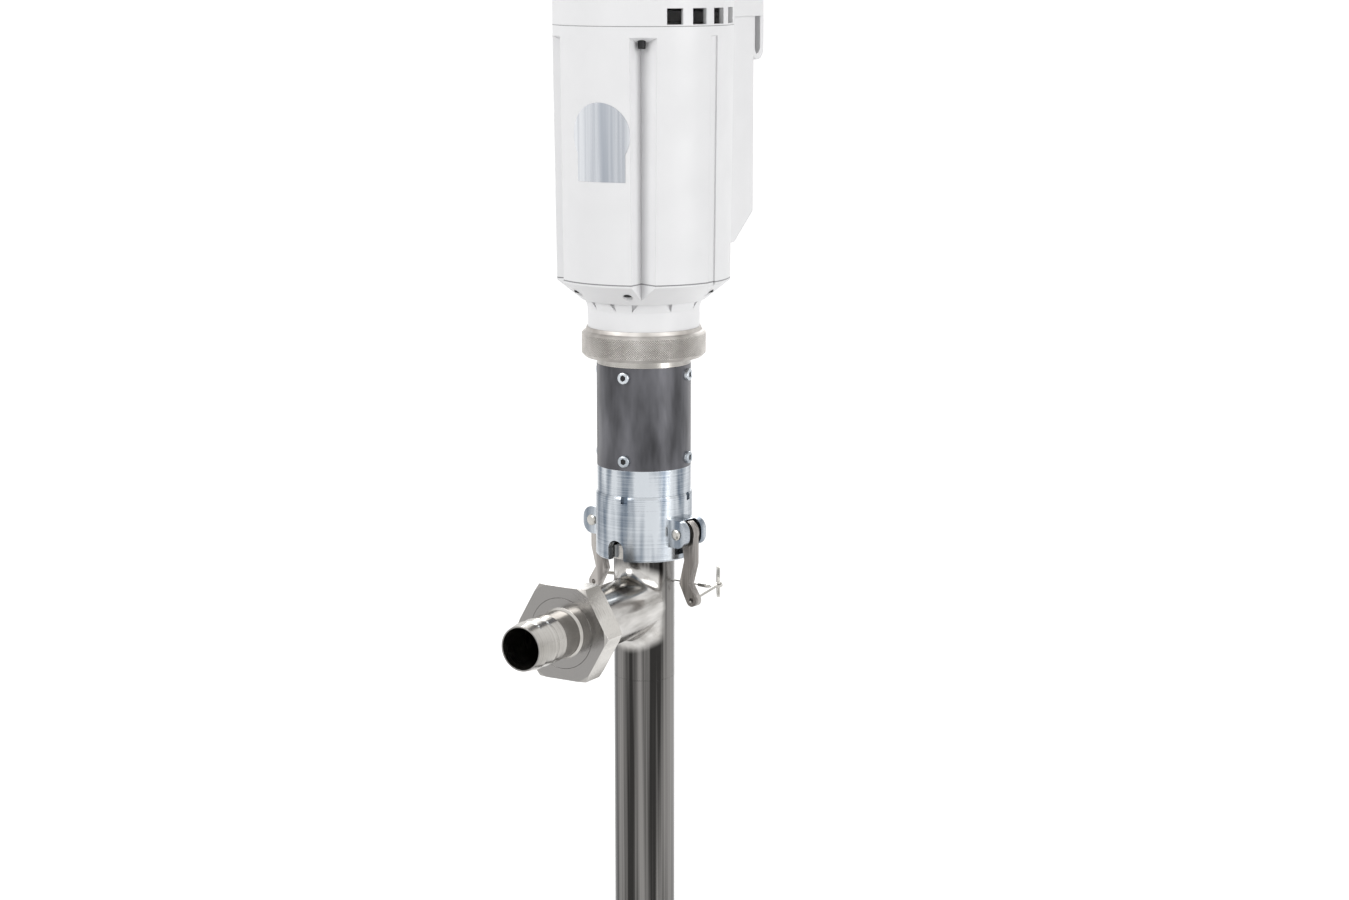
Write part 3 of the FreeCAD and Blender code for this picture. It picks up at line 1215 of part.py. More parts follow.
def cap_hook():
    """The U-shaped strap under the cap's tail, to hang the motor by."""
    inner = "(cover_reach + hook_gap)"
    high, low = "tail_low", "tail_low - hook_drop"
    floor = low + " + hook_thickness"
    strap = slab("hook_blank", [
        (inner, high), (inner, low + " + 10", "hook_round"), (inner + " + 5", low),
        ("hook_outer - hook_round", low, "hook_round"), ("hook_outer", low + " + hook_round"), ("hook_outer", high),
        ("hook_outer - hook_thickness", high), ("hook_outer - hook_thickness", low + " + 10", "3 - hook_round"),
        ("hook_outer - 10", floor), (inner + " + hook_liner + 2", floor, "1 - hook_round"),
        (inner + " + hook_liner", low + " + 11"), (inner + " + hook_liner", high)],
        "YZ_Plane", "2 * hook_half_width")
    keep(turned_about("hook_place", strap, "motor_turn"), "cap_hook")


def tie_rods(name, radius, top_drop, length):
    """Upright rods above the V-grooves' roofs: the tie screws, or their holes."""
    return [turned_about("%s_place_%d" % (name, hand), rod(
        "%s_%d" % (name, hand), radius, length, y="-housing_od_high / 2 + groove_depth / 2",
        z="housing_top - (%s)" % top_drop), "motor_turn + %d * groove_turn" % hand) for hand in (1, -1)]


def tie_screws():
    """The screws in the holes above the V-grooves, which hold the cap to the housing."""
    keep(grouped("tie_screw_group", *tie_rods(
        "tie_screw", "tie_screw_diameter / 2", "2 + tie_screw_length", "tie_screw_length")), "tie_screws")


def cable_inlet():
    """The bush that the supply lead goes in by, under the rear cover's foot."""
    bush = ring("inlet_body", "inlet_diameter / 2", "inlet_bore / 2", "0", "inlet_length")
    place(bush, y="cover_reach - inlet_inset", z="cover_floor - 4")
    keep(turned_about("inlet_place", bush, "motor_turn"), "cable_inlet")


for make in (
        outer_tube, inlet_foot, pump_stage, connecting_rod, drive_shaft, shaft_bushes,
        tee_body, discharge, cam_adapter, coupler_body, cam_levers, ring_pin, keeper,
        reducer_case, gear_stage, collar_nut, motor_case, motor_works, motor_cap,
        rear_cover, cap_hook, tie_screws, cable_inlet):
    make()

doc.removeObject("gauge")
doc.recompute()
for item in doc.Objects:
    assert not {"Invalid", "Error"} & set(item.State), "%s failed: %s" % (item.Name, item.State)
for item in parts:
    assert not item.Shape.isNull() and item.Shape.isValid(), "%s has no valid shape" % item.Label

os.makedirs("parts", exist_ok=True)
for item in parts:
    item.Shape.exportStep("parts/%s.step" % item.Label)
    box = item.Shape.BoundBox
    print("%-16s %2d solids %10.0f mm3  x %7.1f %7.1f  y %7.1f %7.1f  z %7.1f %7.1f" % (
        item.Label, len(item.Shape.Solids), item.Shape.Volume,
        box.XMin, box.XMax, box.YMin, box.YMax, box.ZMin, box.ZMax))
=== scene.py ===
"""Looks of a drum pump: finishes on its solids, small pieces of detail, light and camera.

The pump stands on its foot with its suction tube upright, motor on top, and
its discharge points towards -Y. Sizes in the classes are in millimetres.
"""

import logging
import math
from dataclasses import dataclass
from enum import Enum
from typing import Sequence

import bmesh
import bpy
from mathutils import Matrix, Vector


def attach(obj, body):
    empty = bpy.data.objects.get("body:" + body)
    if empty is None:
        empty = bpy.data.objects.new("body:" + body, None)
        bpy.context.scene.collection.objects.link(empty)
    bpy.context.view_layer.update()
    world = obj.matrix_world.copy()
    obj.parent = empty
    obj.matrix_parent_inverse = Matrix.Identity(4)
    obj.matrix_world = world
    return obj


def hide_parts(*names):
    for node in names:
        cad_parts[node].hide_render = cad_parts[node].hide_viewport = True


BMesh = bmesh.types.BMesh
Node = bpy.types.Node
Object = bpy.types.Object
Socket = bpy.types.NodeSocket
Tree = bpy.types.NodeTree

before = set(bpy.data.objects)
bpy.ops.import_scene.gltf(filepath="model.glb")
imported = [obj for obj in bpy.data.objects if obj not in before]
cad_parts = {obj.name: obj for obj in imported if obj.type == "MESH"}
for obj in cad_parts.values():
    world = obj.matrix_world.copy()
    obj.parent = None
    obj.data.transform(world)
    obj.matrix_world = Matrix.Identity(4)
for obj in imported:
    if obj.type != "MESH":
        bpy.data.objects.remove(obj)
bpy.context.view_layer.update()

LOG = logging.getLogger("drum_pump")
MM = 0.001
BRANCH_HEIGHT = 1040.0
BELL_TOP = 1314.3
HOUSING_TOP = 1518.4

WHITE = (1.0, 1.0, 1.0, 1.0)
# The sides of a ring of points
ROUND = 0
HEXAGON = 6
# The relief's depth in millimetres for a bump of one
RELIEF_MM = 0.1
# The values between which nearly all of a noise lies
NOISE_LOW = 0.3
NOISE_HIGH = 0.7
# How far the roughness moves on a mottled surface and on a lined one
MOTTLED_SWING = 0.05
LINED_SWING = 0.06
# A mix node's colour sockets, which follow those for numbers and vectors
MIX_FIRST = 6
MIX_SECOND = 7
MIX_RESULT = 2


class Axis(Enum):
    """The line that a finish's marks run along or round, as a turn and a shift."""

    PUMP = ((0.0, 0.0, 0.0), (0.0, 0.0, 0.0))
    BRANCH = ((-math.pi / 2, 0.0, 0.0), (0.0, -BRANCH_HEIGHT * MM, 0.0))


def linear(colour: str) -> tuple[float, float, float, float]:
    """Turn an sRGB hex colour to the linear values that a socket takes.

    Args:
        colour: Six hex digits.

    Returns:
        Linear red, green, blue and an alpha of one.
    """
    shares = [int(colour[place:place + 2], 16) / 255 for place in (0, 2, 4)]
    red, green, blue = (
        share / 12.92 if share <= 0.04045 else ((share + 0.055) / 1.055) ** 2.4 for share in shares)
    return red, green, blue, 1.0


def add_node(tree: Tree, kind: str, inputs: dict | None = None, **settings) -> Node:
    """Add a node with its settings, values and links.

    Args:
        tree: The tree that the node joins.
        kind: The node's type name.
        inputs: Socket names or numbers, each with a value or with the socket that feeds it.
        **settings: The node's own properties.

    Returns:
        The new node.
    """
    node = tree.nodes.new(kind)
    for name, setting in settings.items():
        setattr(node, name, setting)
    for key, source in (inputs or {}).items():
        if isinstance(source, Socket):
            tree.links.new(source, node.inputs[key])
        else:
            node.inputs[key].default_value = source
    return node


def maths(tree: Tree, operation: str, *values: float | Socket) -> Socket:
    """Add a node that works on one to three numbers.

    Args:
        tree: The tree that the node joins.
        operation: What the node works out.
        *values: The numbers, or the sockets that feed them, in order.

    Returns:
        The result's socket.
    """
    return add_node(tree, "ShaderNodeMath", dict(enumerate(values)), operation=operation).outputs[0]


def mix_tones(tree: Tree, factor: Socket, first: Socket, second: Socket | Sequence[float]) -> Socket:
    """Add a node that mixes two colours.

    Args:
        tree: The tree that the node joins.
        factor: The second colour's share.
        first: The first colour.
        second: The second colour.

    Returns:
        The mixed colour's socket.
    """
    mixed = add_node(tree, "ShaderNodeMix", {
        "Factor": factor, MIX_FIRST: first, MIX_SECOND: second}, data_type="RGBA")
    return mixed.outputs[MIX_RESULT]


@dataclass(frozen=True)
class Finish:
    """A surface of one real material, with a broad mottle of two close tones.

    The mottle is what handling and casting leave on any surface, and keeps
    large areas from looking computed. On the black sleeve it is stretched into
    bands down it that are painted reflections.
    """

    name: str
    colour: str
    second: str
    roughness: float
    metallic: float = 0.0
    spread_mm: float = 30.0
    bump: float = 0.1
    grain_mm: float = 1.2
    edge_mm: float = 0.3
    softness: float = 0.3
    stretch: float = 1.0
    axis: Axis = Axis.PUMP

    def build(self) -> bpy.types.Material:
        """Make the material with its shader, and dress the shader."""
        material = bpy.data.materials.new(self.name)
        material.use_nodes = True
        tree = material.node_tree
        shader = tree.nodes["Principled BSDF"]
        shader.inputs["Metallic"].default_value = self.metallic
        shader.inputs["Roughness"].default_value = self.roughness
        self.dress(tree, shader)
        return material

    def place(self, tree: Tree) -> Socket:
        """Object coordinates turned so that Z runs along the finish's axis."""
        turn, shift = self.axis.value
        coords = add_node(tree, "ShaderNodeTexCoord")
        mapping = add_node(tree, "ShaderNodeMapping", {
            "Vector": coords.outputs["Object"], "Rotation": turn, "Location": shift})
        return mapping.outputs["Vector"]

    def noise(self, tree: Tree, where: Socket, size_mm: float, stretch: Sequence[float] = (1.0, 1.0, 1.0),
              detail: float = 3.0) -> Socket:
        """Noise whose blobs have a real size.

        Args:
            tree: The material's tree.
            where: The coordinates to read.
            size_mm: The size of a blob across the marks.
            stretch: How many times longer the blob is along each axis.
            detail: Octaves of finer noise on it.

        Returns:
            The noise as a value about one half.
        """
        scale = [1 / (size_mm * MM * times) for times in stretch]
        scaled = add_node(tree, "ShaderNodeVectorMath", {0: where, 1: scale}, operation="MULTIPLY")
        texture = add_node(tree, "ShaderNodeTexNoise", {
            "Vector": scaled.outputs[0], "Scale": 1.0, "Detail": detail})
        return texture.outputs["Fac"]

    def ramp(self, tree: Tree, fac: Socket, first: str, second: str,
             middle: float = 0.5, softness: float = 0.0) -> Socket:
        """Mix two tones by a value.

        Args:
            tree: The material's tree.
            fac: The value that chooses between the tones.
            first: The tone of low values, as hex.
            second: The tone of high values, as hex.
            middle: The value at which the tones are mixed half and half.
            softness: How wide the change is, or 0 for the finish's own.

        Returns:
            The mixed colour.
        """
        width = softness or self.softness
        ramp = add_node(tree, "ShaderNodeValToRGB", {"Fac": fac})
        for element, tone, side in zip(ramp.color_ramp.elements, (first, second), (-0.5, 0.5)):
            element.position = middle + side * width
            element.color = linear(tone)
        return ramp.outputs["Color"]

    def tones(self, tree: Tree, shader: Node, fac: Socket, middle: float = 0.5) -> None:
        """Feed the shader's colour with the finish's two tones, mixed by a value."""
        tree.links.new(self.ramp(tree, fac, self.colour, self.second, middle), shader.inputs["Base Color"])

    def relief(self, tree: Tree, shader: Node, height: Socket, depth_mm: float) -> None:
        """Round the sharp edges and press a height pattern into the surface.

        Args:
            tree: The material's tree.
            shader: The shader whose normal is fed.
            height: The pattern, from 0 to 1.
            depth_mm: How deep the pattern goes.
        """
        edge = add_node(tree, "ShaderNodeBevel", {"Radius": self.edge_mm * MM}, samples=4)
        bump = add_node(tree, "ShaderNodeBump", {
            "Height": height, "Normal": edge.outputs["Normal"], "Strength": 1.0, "Distance": depth_mm * MM})
        tree.links.new(bump.outputs["Normal"], shader.inputs["Normal"])

    def rough(self, tree: Tree, shader: Node, fac: Socket, swing: float) -> None:
        """Let a value move the roughness a little both ways."""
        spread = add_node(tree, "ShaderNodeMapRange", {
            "Value": fac, "From Min": NOISE_LOW, "From Max": NOISE_HIGH,
            "To Min": self.roughness - swing, "To Max": self.roughness + swing})
        tree.links.new(spread.outputs["Result"], shader.inputs["Roughness"])

    def dress(self, tree: Tree, shader: Node) -> None:
        """Mottle the colour and roughness and add the surface's fine grain."""
        where = self.place(tree)
        broad = self.noise(tree, where, self.spread_mm, (1.0, 1.0, self.stretch))
        self.tones(tree, shader, broad)
        self.rough(tree, shader, broad, MOTTLED_SWING)
        self.relief(tree, shader, self.noise(tree, where, self.grain_mm), self.bump * RELIEF_MM)


@dataclass(frozen=True)
class JointedEnamel(Finish):
    """Enamel on a case of stacked castings, with a fine shadow line at each joint."""

    joints_mm: tuple[float, ...] = (BELL_TOP, HOUSING_TOP)
    joint_half_mm: float = 0.5
    shadow: str = "8f8f91"

    def dress(self, tree: Tree, shader: Node) -> None:
        """Lay the joints' lines over the plain enamel."""
        super().dress(tree, shader)
        height = add_node(tree, "ShaderNodeSeparateXYZ", {0: self.place(tree)}).outputs[2]
        tone = shader.inputs["Base Color"].links[0].from_socket
        for joint in self.joints_mm:
            near = maths(tree, "COMPARE", height, joint * MM, self.joint_half_mm * MM)
            tone = mix_tones(tree, near, tone, linear(self.shadow))
        tree.links.new(tone, shader.inputs["Base Color"])


@dataclass(frozen=True)
class DrawnMetal(Finish):
    """Metal with long lines along its axis, as drawing and belt-grinding leave them. On the polished tube and
    tee and on the foil label, the broad dark and pale streaks are painted reflections.
    """

    metallic: float = 1.0
    line_mm: float = 2.2
    line_share: float = 0.6
    stretch: float = 60.0

    def streaks(self, tree: Tree, where: Socket) -> Socket:
        """Broad and narrow streaks along the axis, as one value about one half."""
        broad = self.noise(tree, where, self.spread_mm, (1.0, 1.0, self.stretch), 1.0)
        narrow = self.noise(tree, where, self.line_mm, (1.0, 1.0, 3 * self.stretch), 2.0)
        both = maths(tree, "MULTIPLY_ADD", narrow, self.line_share, broad)
        return maths(tree, "SUBTRACT", both, self.line_share / 2)

    def scratches(self, tree: Tree, shader: Node, where: Socket) -> None:
        """Press fine lines along the axis into the surface."""
        lines = self.noise(tree, where, self.line_mm / 3, (1.0, 1.0, self.stretch), 2.0)
        self.relief(tree, shader, lines, self.bump * RELIEF_MM)

    def dress(self, tree: Tree, shader: Node) -> None:
        """Streak the tone and the gloss along the axis."""
        where = self.place(tree)
        level = self.streaks(tree, where)
        self.tones(tree, shader, level)
        self.rough(tree, shader, level, LINED_SWING)
        self.scratches(tree, shader, where)


@dataclass(frozen=True)
class PulledTee(DrawnMetal):
    """The drawn tube's own finish, with a painted highlight, bright and cloudy, where the branch is pulled
    out of it.
    """

    highlight_tone: str = "d5d3d0"
    highlight_cloud_tone: str = "a5a29e"
    cloud_mm: float = 8.0
    cloud_stretch: float = 4.0
    cloud_softness: float = 0.5
    flare_mm: float = 31.0
    fade_mm: float = 9.0
    front_mm: float = 5.0

    def near(self, tree: Tree, where: Socket) -> Socket:
        """One on the branch and its flare, where the painted highlight lies, falling to zero on the rest of
        the tube.
        """
        shifted = add_node(tree, "ShaderNodeVectorMath", {
            0: where, 1: (0.0, 0.0, -BRANCH_HEIGHT * MM)}, operation="ADD")
        x, y, z = add_node(tree, "ShaderNodeSeparateXYZ", {0: shifted.outputs[0]}).outputs
        across = add_node(tree, "ShaderNodeCombineXYZ", {0: x, 2: z})
        radius = add_node(tree, "ShaderNodeVectorMath", {0: across.outputs[0]}, operation="LENGTH")
        inside = add_node(tree, "ShaderNodeMapRange", {
            "Value": radius.outputs["Value"], "From Min": self.flare_mm * MM,
            "From Max": (self.flare_mm + self.fade_mm) * MM, "To Min": 1.0, "To Max": 0.0},
            interpolation_type="SMOOTHSTEP")
        ahead = add_node(tree, "ShaderNodeMapRange", {
            "Value": y, "From Min": -(self.front_mm + self.fade_mm) * MM,
            "From Max": -self.front_mm * MM, "To Min": 1.0, "To Max": 0.0}, interpolation_type="SMOOTHSTEP")
        return maths(tree, "MULTIPLY", inside.outputs[0], ahead.outputs[0])

    def dress(self, tree: Tree, shader: Node) -> None:
        """Lay the cloudy painted highlight over the tube's streaks."""
        where = self.place(tree)
        level = self.streaks(tree, where)
        clouds = self.noise(tree, where, self.cloud_mm, (1.0, self.cloud_stretch, 1.0), 2.0)
        near = self.near(tree, where)
        streaked = self.ramp(tree, level, self.colour, self.second)
        # The branch's bright and cloudy tones are a painted highlight.
        clouded = self.ramp(tree, clouds, self.highlight_tone, self.highlight_cloud_tone, softness=self.cloud_softness)
        tree.links.new(mix_tones(tree, near, streaked, clouded), shader.inputs["Base Color"])
        self.rough(tree, shader, clouds, LINED_SWING)
        self.scratches(tree, shader, where)


@dataclass(frozen=True)
class TurnedMetal(Finish):
    """Metal with rings round its axis, which a lathe tool leaves on rims and faces."""

    metallic: float = 1.0
    ring_mm: float = 0.6
    ring_share: float = 0.4
    stretch: float = 3.0
    # Painted shade: a tone for faces square to the axis, or empty for none
    face: str = ""
    face_from: float = 0.8
    face_full: float = 0.97

    def squareness(self, tree: Tree) -> Socket:
        """One on faces square to the axis, falling to zero on those round it."""
        coords = add_node(tree, "ShaderNodeTexCoord")
        turned = add_node(tree, "ShaderNodeMapping", {
            "Vector": coords.outputs["Normal"], "Rotation": self.axis.value[0]})
        split = add_node(tree, "ShaderNodeSeparateXYZ", {0: turned.outputs["Vector"]})
        along = maths(tree, "ABSOLUTE", split.outputs["Z"])
        share = add_node(tree, "ShaderNodeMapRange", {
            "Value": along, "From Min": self.face_from, "From Max": self.face_full},
            interpolation_type="SMOOTHSTEP")
        return share.outputs[0]

    def dress(self, tree: Tree, shader: Node) -> None:
        """Ring the tone, the gloss and the relief round the axis."""
        where = self.place(tree)
        x, y, z = add_node(tree, "ShaderNodeSeparateXYZ", {0: where}).outputs
        across = add_node(tree, "ShaderNodeCombineXYZ", {0: x, 1: y})
        radius = add_node(tree, "ShaderNodeVectorMath", {0: across.outputs[0]}, operation="LENGTH")
        profile = add_node(tree, "ShaderNodeCombineXYZ", {0: radius.outputs["Value"], 1: z})
        rings = self.noise(tree, profile.outputs[0], self.ring_mm, detail=2.0)
        broad = self.noise(tree, where, self.spread_mm, (1.0, 1.0, self.stretch), 2.0)
        both = maths(tree, "MULTIPLY_ADD", rings, self.ring_share, broad)
        level = maths(tree, "SUBTRACT", both, self.ring_share / 2)
        tone = self.ramp(tree, level, self.colour, self.second)
        # Faces square to the axis take the painted-shade tone
        if self.face:
            tone = mix_tones(tree, self.squareness(tree), tone, linear(self.face))
        tree.links.new(tone, shader.inputs["Base Color"])
        self.rough(tree, shader, level, LINED_SWING)
        self.relief(tree, shader, rings, self.bump * RELIEF_MM)


@dataclass(frozen=True)
class KnurledMetal(Finish):
    """Metal rolled with a fine diamond knurl on its rim, between two plain edges.

    Its bump is the knurl's depth in millimetres.
    """

    metallic: float = 1.0
    rim_mm: float = 51.1
    pitch_mm: float = 1.9
    low_mm: float = 1251.9
    high_mm: float = 1267.9
    # Painted light on the knurl: how far the crests are lightened and the grooves darkened
    crest_painted_light: float = -0.14

    def dress(self, tree: Tree, shader: Node) -> None:
        """Cross two families of helical lines and keep them on the rim's band."""
        where = self.place(tree)
        x, y, z = add_node(tree, "ShaderNodeSeparateXYZ", {0: where}).outputs
        angle = maths(tree, "ARCTAN2", y, x)
        teeth = round(2 * math.pi * self.rim_mm / self.pitch_mm)
        wave = 2 * math.pi / (self.pitch_mm * MM)
        lines = []
        for hand in (1, -1):
            climb = maths(tree, "MULTIPLY", z, hand * wave)
            phase = maths(tree, "MULTIPLY_ADD", angle, float(teeth), climb)
            lines.append(maths(tree, "COSINE", phase))
        diamond = maths(tree, "ADD", *lines)
        above = maths(tree, "GREATER_THAN", z, self.low_mm * MM)
        below = maths(tree, "LESS_THAN", z, self.high_mm * MM)
        band = maths(tree, "MULTIPLY", above, below)
        height = maths(tree, "MULTIPLY", diamond, band)
        broad = self.noise(tree, where, self.spread_mm)
        # The knurl's crests are toned lighter and its grooves darker: painted highlight and shade
        self.tones(tree, shader, maths(tree, "MULTIPLY_ADD", height, self.crest_painted_light, broad))
        self.relief(tree, shader, height, self.bump)


@dataclass(frozen=True)
class StackedMetal(Finish):
    """Thin sheets or bars side by side, parted by dark lines.

    A lamination is about 0.5 mm, drawn here at 2 mm so that it shows.
    """

    metallic: float = 1.0
    pitch_mm: float = 2.0
    bars: int = 0
    gap_share: float = 0.15
    gap_tone: float = 0.5
    tone_middle: float = 0.65

    def dress(self, tree: Tree, shader: Node) -> None:
        """Line the metal across its axis, or along it where bars stand round it."""
        where = self.place(tree)
        x, y, z = add_node(tree, "ShaderNodeSeparateXYZ", {0: where}).outputs
        if self.bars:
            angle = maths(tree, "ARCTAN2", y, x)
            count = maths(tree, "MULTIPLY", angle, self.bars / (2 * math.pi))
        else:
            count = maths(tree, "MULTIPLY", z, 1 / (self.pitch_mm * MM))
        gap = maths(tree, "LESS_THAN", maths(tree, "FRACT", count), self.gap_share)
        broad = self.noise(tree, where, self.spread_mm)
        tone = maths(tree, "MULTIPLY_ADD", gap, self.gap_tone, broad)
        self.tones(tree, shader, tone, self.tone_middle)
        self.relief(tree, shader, self.noise(tree, where, self.grain_mm), self.bump * RELIEF_MM)


class Finishes:
    """Every finish of the pump, made once and handed out by name."""

    def __init__(self) -> None:
        """List the finishes and build their materials."""
        kinds = [
            # Stainless tube, drawn and polished: near-mirror; its broad dark and pale streaks along it are
            # painted reflections, its fine lines drawing marks
            DrawnMetal("polished_stainless_tube", "7c7a78", "2e2d2c", 0.16, spread_mm=11.0, bump=0.015,
                       softness=0.26),
            # Stainless tee, pulled out of the tube and polished; round the branch a painted highlight, bright
            # and cloudy
            PulledTee("pulled_stainless_tee", "7c7a78", "2e2d2c", 0.2, spread_mm=11.0, bump=0.015,
                      softness=0.26),
            # Stainless bar, turned about the branch: bright flats; its faced ends are given a mid grey that
            # is painted shade
            TurnedMetal("turned_stainless_branch", "cfccc7", "94918c", 0.23, axis=Axis.BRANCH, bump=0.06,
                        face="8c8a88"),
            # Stainless, turned about the pump's axis
            TurnedMetal("turned_stainless_pump", "bbb8b3", "8d8a86", 0.27, bump=0.06),
            # Aluminium casting, turned on the outside: cool, with pale and blue-grey bands down it
            TurnedMetal("turned_aluminium_coupling", "c6cbd0", "626d7a", 0.24, bump=0.05, spread_mm=13.0,
                        stretch=9.0, ring_share=0.25, softness=0.24),
            # Stainless flat bar, belt-ground: warm grey and dull along its length
            DrawnMetal("ground_stainless_lever", "aeaaa6", "7b7774", 0.38, spread_mm=8.0, bump=0.05,
                       stretch=12.0, line_mm=1.2),
            # Anodised aluminium with a diamond knurl of about 1 mm, drawn at 1.9 mm so that it shows
            KnurledMetal("knurled_anodised_collar", "dedbd7", "99948f", 0.55, bump=0.45, softness=0.4),
            # Black anodised aluminium: satin, with soft grey bands down it that are painted reflections
            Finish("black_anodised_sleeve", "6a6a6f", "323235", 0.38, metallic=0.6, spread_mm=18.0, bump=0.03,
                   softness=0.4, stretch=4.0),
            # Stoved enamel on cast aluminium: pale, slight orange peel of about 2 mm
            JointedEnamel("pale_enamel_case", "e8e8e9", "e3e3e4", 0.4, bump=0.1, grain_mm=2.0, edge_mm=0.8,
                          softness=0.6),
            # The same enamel on the cap and the cover, which cross the case's joints
            Finish("pale_enamel_cover", "e8e8e9", "e3e3e4", 0.4, bump=0.1, grain_mm=2.0, edge_mm=0.8,
                   softness=0.6),
            # Chrome-plated socket screws: a cold, pale grey shine
            TurnedMetal("chromed_socket_screw", "c9ced3", "a3a9af", 0.28, bump=0.02),
            # Black-oxide screws: almost no shine. The same near-black is painted shade where it fills the
            # screw sockets' bottoms, and partly so on the case screws sunk in their holes, whose black also
            # stands in for the holes' shade
            Finish("black_oxide_and_painted_shade", "1c1c1d", "262628", 0.5, metallic=0.5, spread_mm=4.0, bump=0.05),
            # Zinc-plated steel: bright, a little warm
            TurnedMetal("zinc_plated_steel", "cfcdc8", "a3a19c", 0.25, bump=0.03, ring_mm=0.4),
            # Ground steel shafting
            TurnedMetal("ground_steel_shaft", "a9a9a8", "8a8a89", 0.22, bump=0.03),
            # Hardened gear steel, dark and oily
            TurnedMetal("hardened_gear_steel", "77777a", "5a5a5d", 0.3, bump=0.04),
            # Laminated iron cores, varnished
            StackedMetal("laminated_iron", "4a4744", "26231f", 0.5, bump=0.1),
            # Copper commutator bars with dark mica between
            StackedMetal("copper_commutator_bars", "b87a55", "3a2618", 0.35, bars=24, bump=0.05),
            # Brass brush holders
            Finish("stamped_brass", "b49a62", "9c8450", 0.35, metallic=1.0, bump=0.05),
            # Moulded nitrile rubber: near black, dull
            Finish("moulded_nitrile", "1d1d1e", "262627", 0.7, spread_mm=12.0, bump=0.2, grain_mm=0.8),
            # Turned fluoropolymer: waxy off-white
            Finish("turned_fluoropolymer", "dedbd2", "d2cec4", 0.45, spread_mm=18.0, bump=0.05),
            # Pressed carbon brush
            Finish("pressed_carbon", "2b2b2d", "38383a", 0.55, spread_mm=3.0, bump=0.2, grain_mm=0.5),
            # Moulded nylon: dark, semi-gloss
            Finish("moulded_nylon", "26272a", "303135", 0.4, spread_mm=15.0, bump=0.08),
            # Silver foil label: smooth, brushed fine down its length; its broad pale and grey streaks are
            # painted reflections
            DrawnMetal("silver_foil_label", "e2e4e7", "9a9fa7", 0.25, spread_mm=20.0, bump=0.005, edge_mm=0.1,
                       line_mm=3.5, softness=0.6),
        ]
        self.materials = {kind.name: kind.build() for kind in kinds}

    def __getitem__(self, name: str) -> bpy.types.Material:
        """Return the material of that name."""
        return self.materials[name]

    def paint(self, finish: str, *nodes: str) -> None:
        """Give one finish to the solids named.

        Args:
            finish: The finish's name.
            *nodes: The solids that take it.
        """
        for node in nodes:
            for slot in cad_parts[node].material_slots:
                slot.material = self.materials[finish]
            LOG.info("%s: %s", node, finish)


class Mesher:
    """Makes plain mesh objects whose place is in their vertices."""

    @staticmethod
    def piece(name: str, mesh: BMesh, material: bpy.types.Material | None = None,
              smooth_below: float = 35.0) -> Object:
        """Turn a bmesh in millimetres to an object in metres.

        Args:
            name: The object's name.
            mesh: The bmesh, which is freed.
            material: The material of all its faces.
            smooth_below: Edges flatter than this, in degrees, are shaded smooth.

        Returns:
            The object, linked to the scene.
        """
        bmesh.ops.scale(mesh, vec=(MM, MM, MM), verts=mesh.verts)
        bmesh.ops.recalc_face_normals(mesh, faces=mesh.faces)
        for face in mesh.faces:
            face.smooth = True
        for edge in mesh.edges:
            sharp = len(edge.link_faces) == 2 and edge.calc_face_angle(0) > math.radians(smooth_below)
            edge.smooth = not sharp
        data = bpy.data.meshes.new(name)
        mesh.to_mesh(data)
        mesh.free()
        if material:
            data.materials.append(material)
        thing = bpy.data.objects.new(name, data)
        bpy.context.scene.collection.objects.link(thing)
        LOG.info("piece %s", name)
        return thing

    @staticmethod
    def rings(mesh: BMesh, loops: Sequence[Sequence[Vector]], close: bool = True) -> None:
        """Skin a closed shell over rings of points, with a face over each end.

        Args:
            mesh: The bmesh to add to.
            loops: Rings with the same number of points each.
            close: Whether the first and last ring get end faces.
        """
        made = [[mesh.verts.new(spot) for spot in loop] for loop in loops]
        for first, second in zip(made, made[1:]):
            for index in range(len(first)):
                after = (index + 1) % len(first)
                mesh.faces.new((first[index], first[after], second[after], second[index]))
        if close:
            mesh.faces.new(made[0][::-1])
            mesh.faces.new(made[-1])

    @staticmethod
    def circle(radius: float, height: float, points: int, sides: int = ROUND) -> list[Vector]:
        """A ring of points at one height, round or on a polygon's sides.

        Args:
            radius: The ring's radius, or the polygon's corner radius.
            height: Where it stands on Z.
            points: How many points it has.
            sides: The polygon's sides, or ROUND.

        Returns:
            The points in order.
        """
        spots = []
        for index in range(points):
            angle = 2 * math.pi * index / points
            reach = radius
            if sides:
                half = math.pi / sides
                reach = radius * math.cos(half) / math.cos(angle % (2 * half) - half)
            spots.append(Vector((reach * math.cos(angle), reach * math.sin(angle), height)))
        return spots

    @staticmethod
    def stepped(mesh: BMesh, steps: Sequence[tuple[float, float, int]], points: int,
                place: Matrix) -> None:
        """Add a closed solid with rings of many widths along one axis.

        Args:
            mesh: The bmesh to add to.
            steps: Each ring's radius, height and sides, in order.
            points: How many points a ring has.
            place: Where the solid's own origin and axis go.
        """
        loops = [[place @ spot for spot in Mesher.circle(radius, height, points, sides)]
                 for radius, height, sides in steps]
        Mesher.rings(mesh, loops)


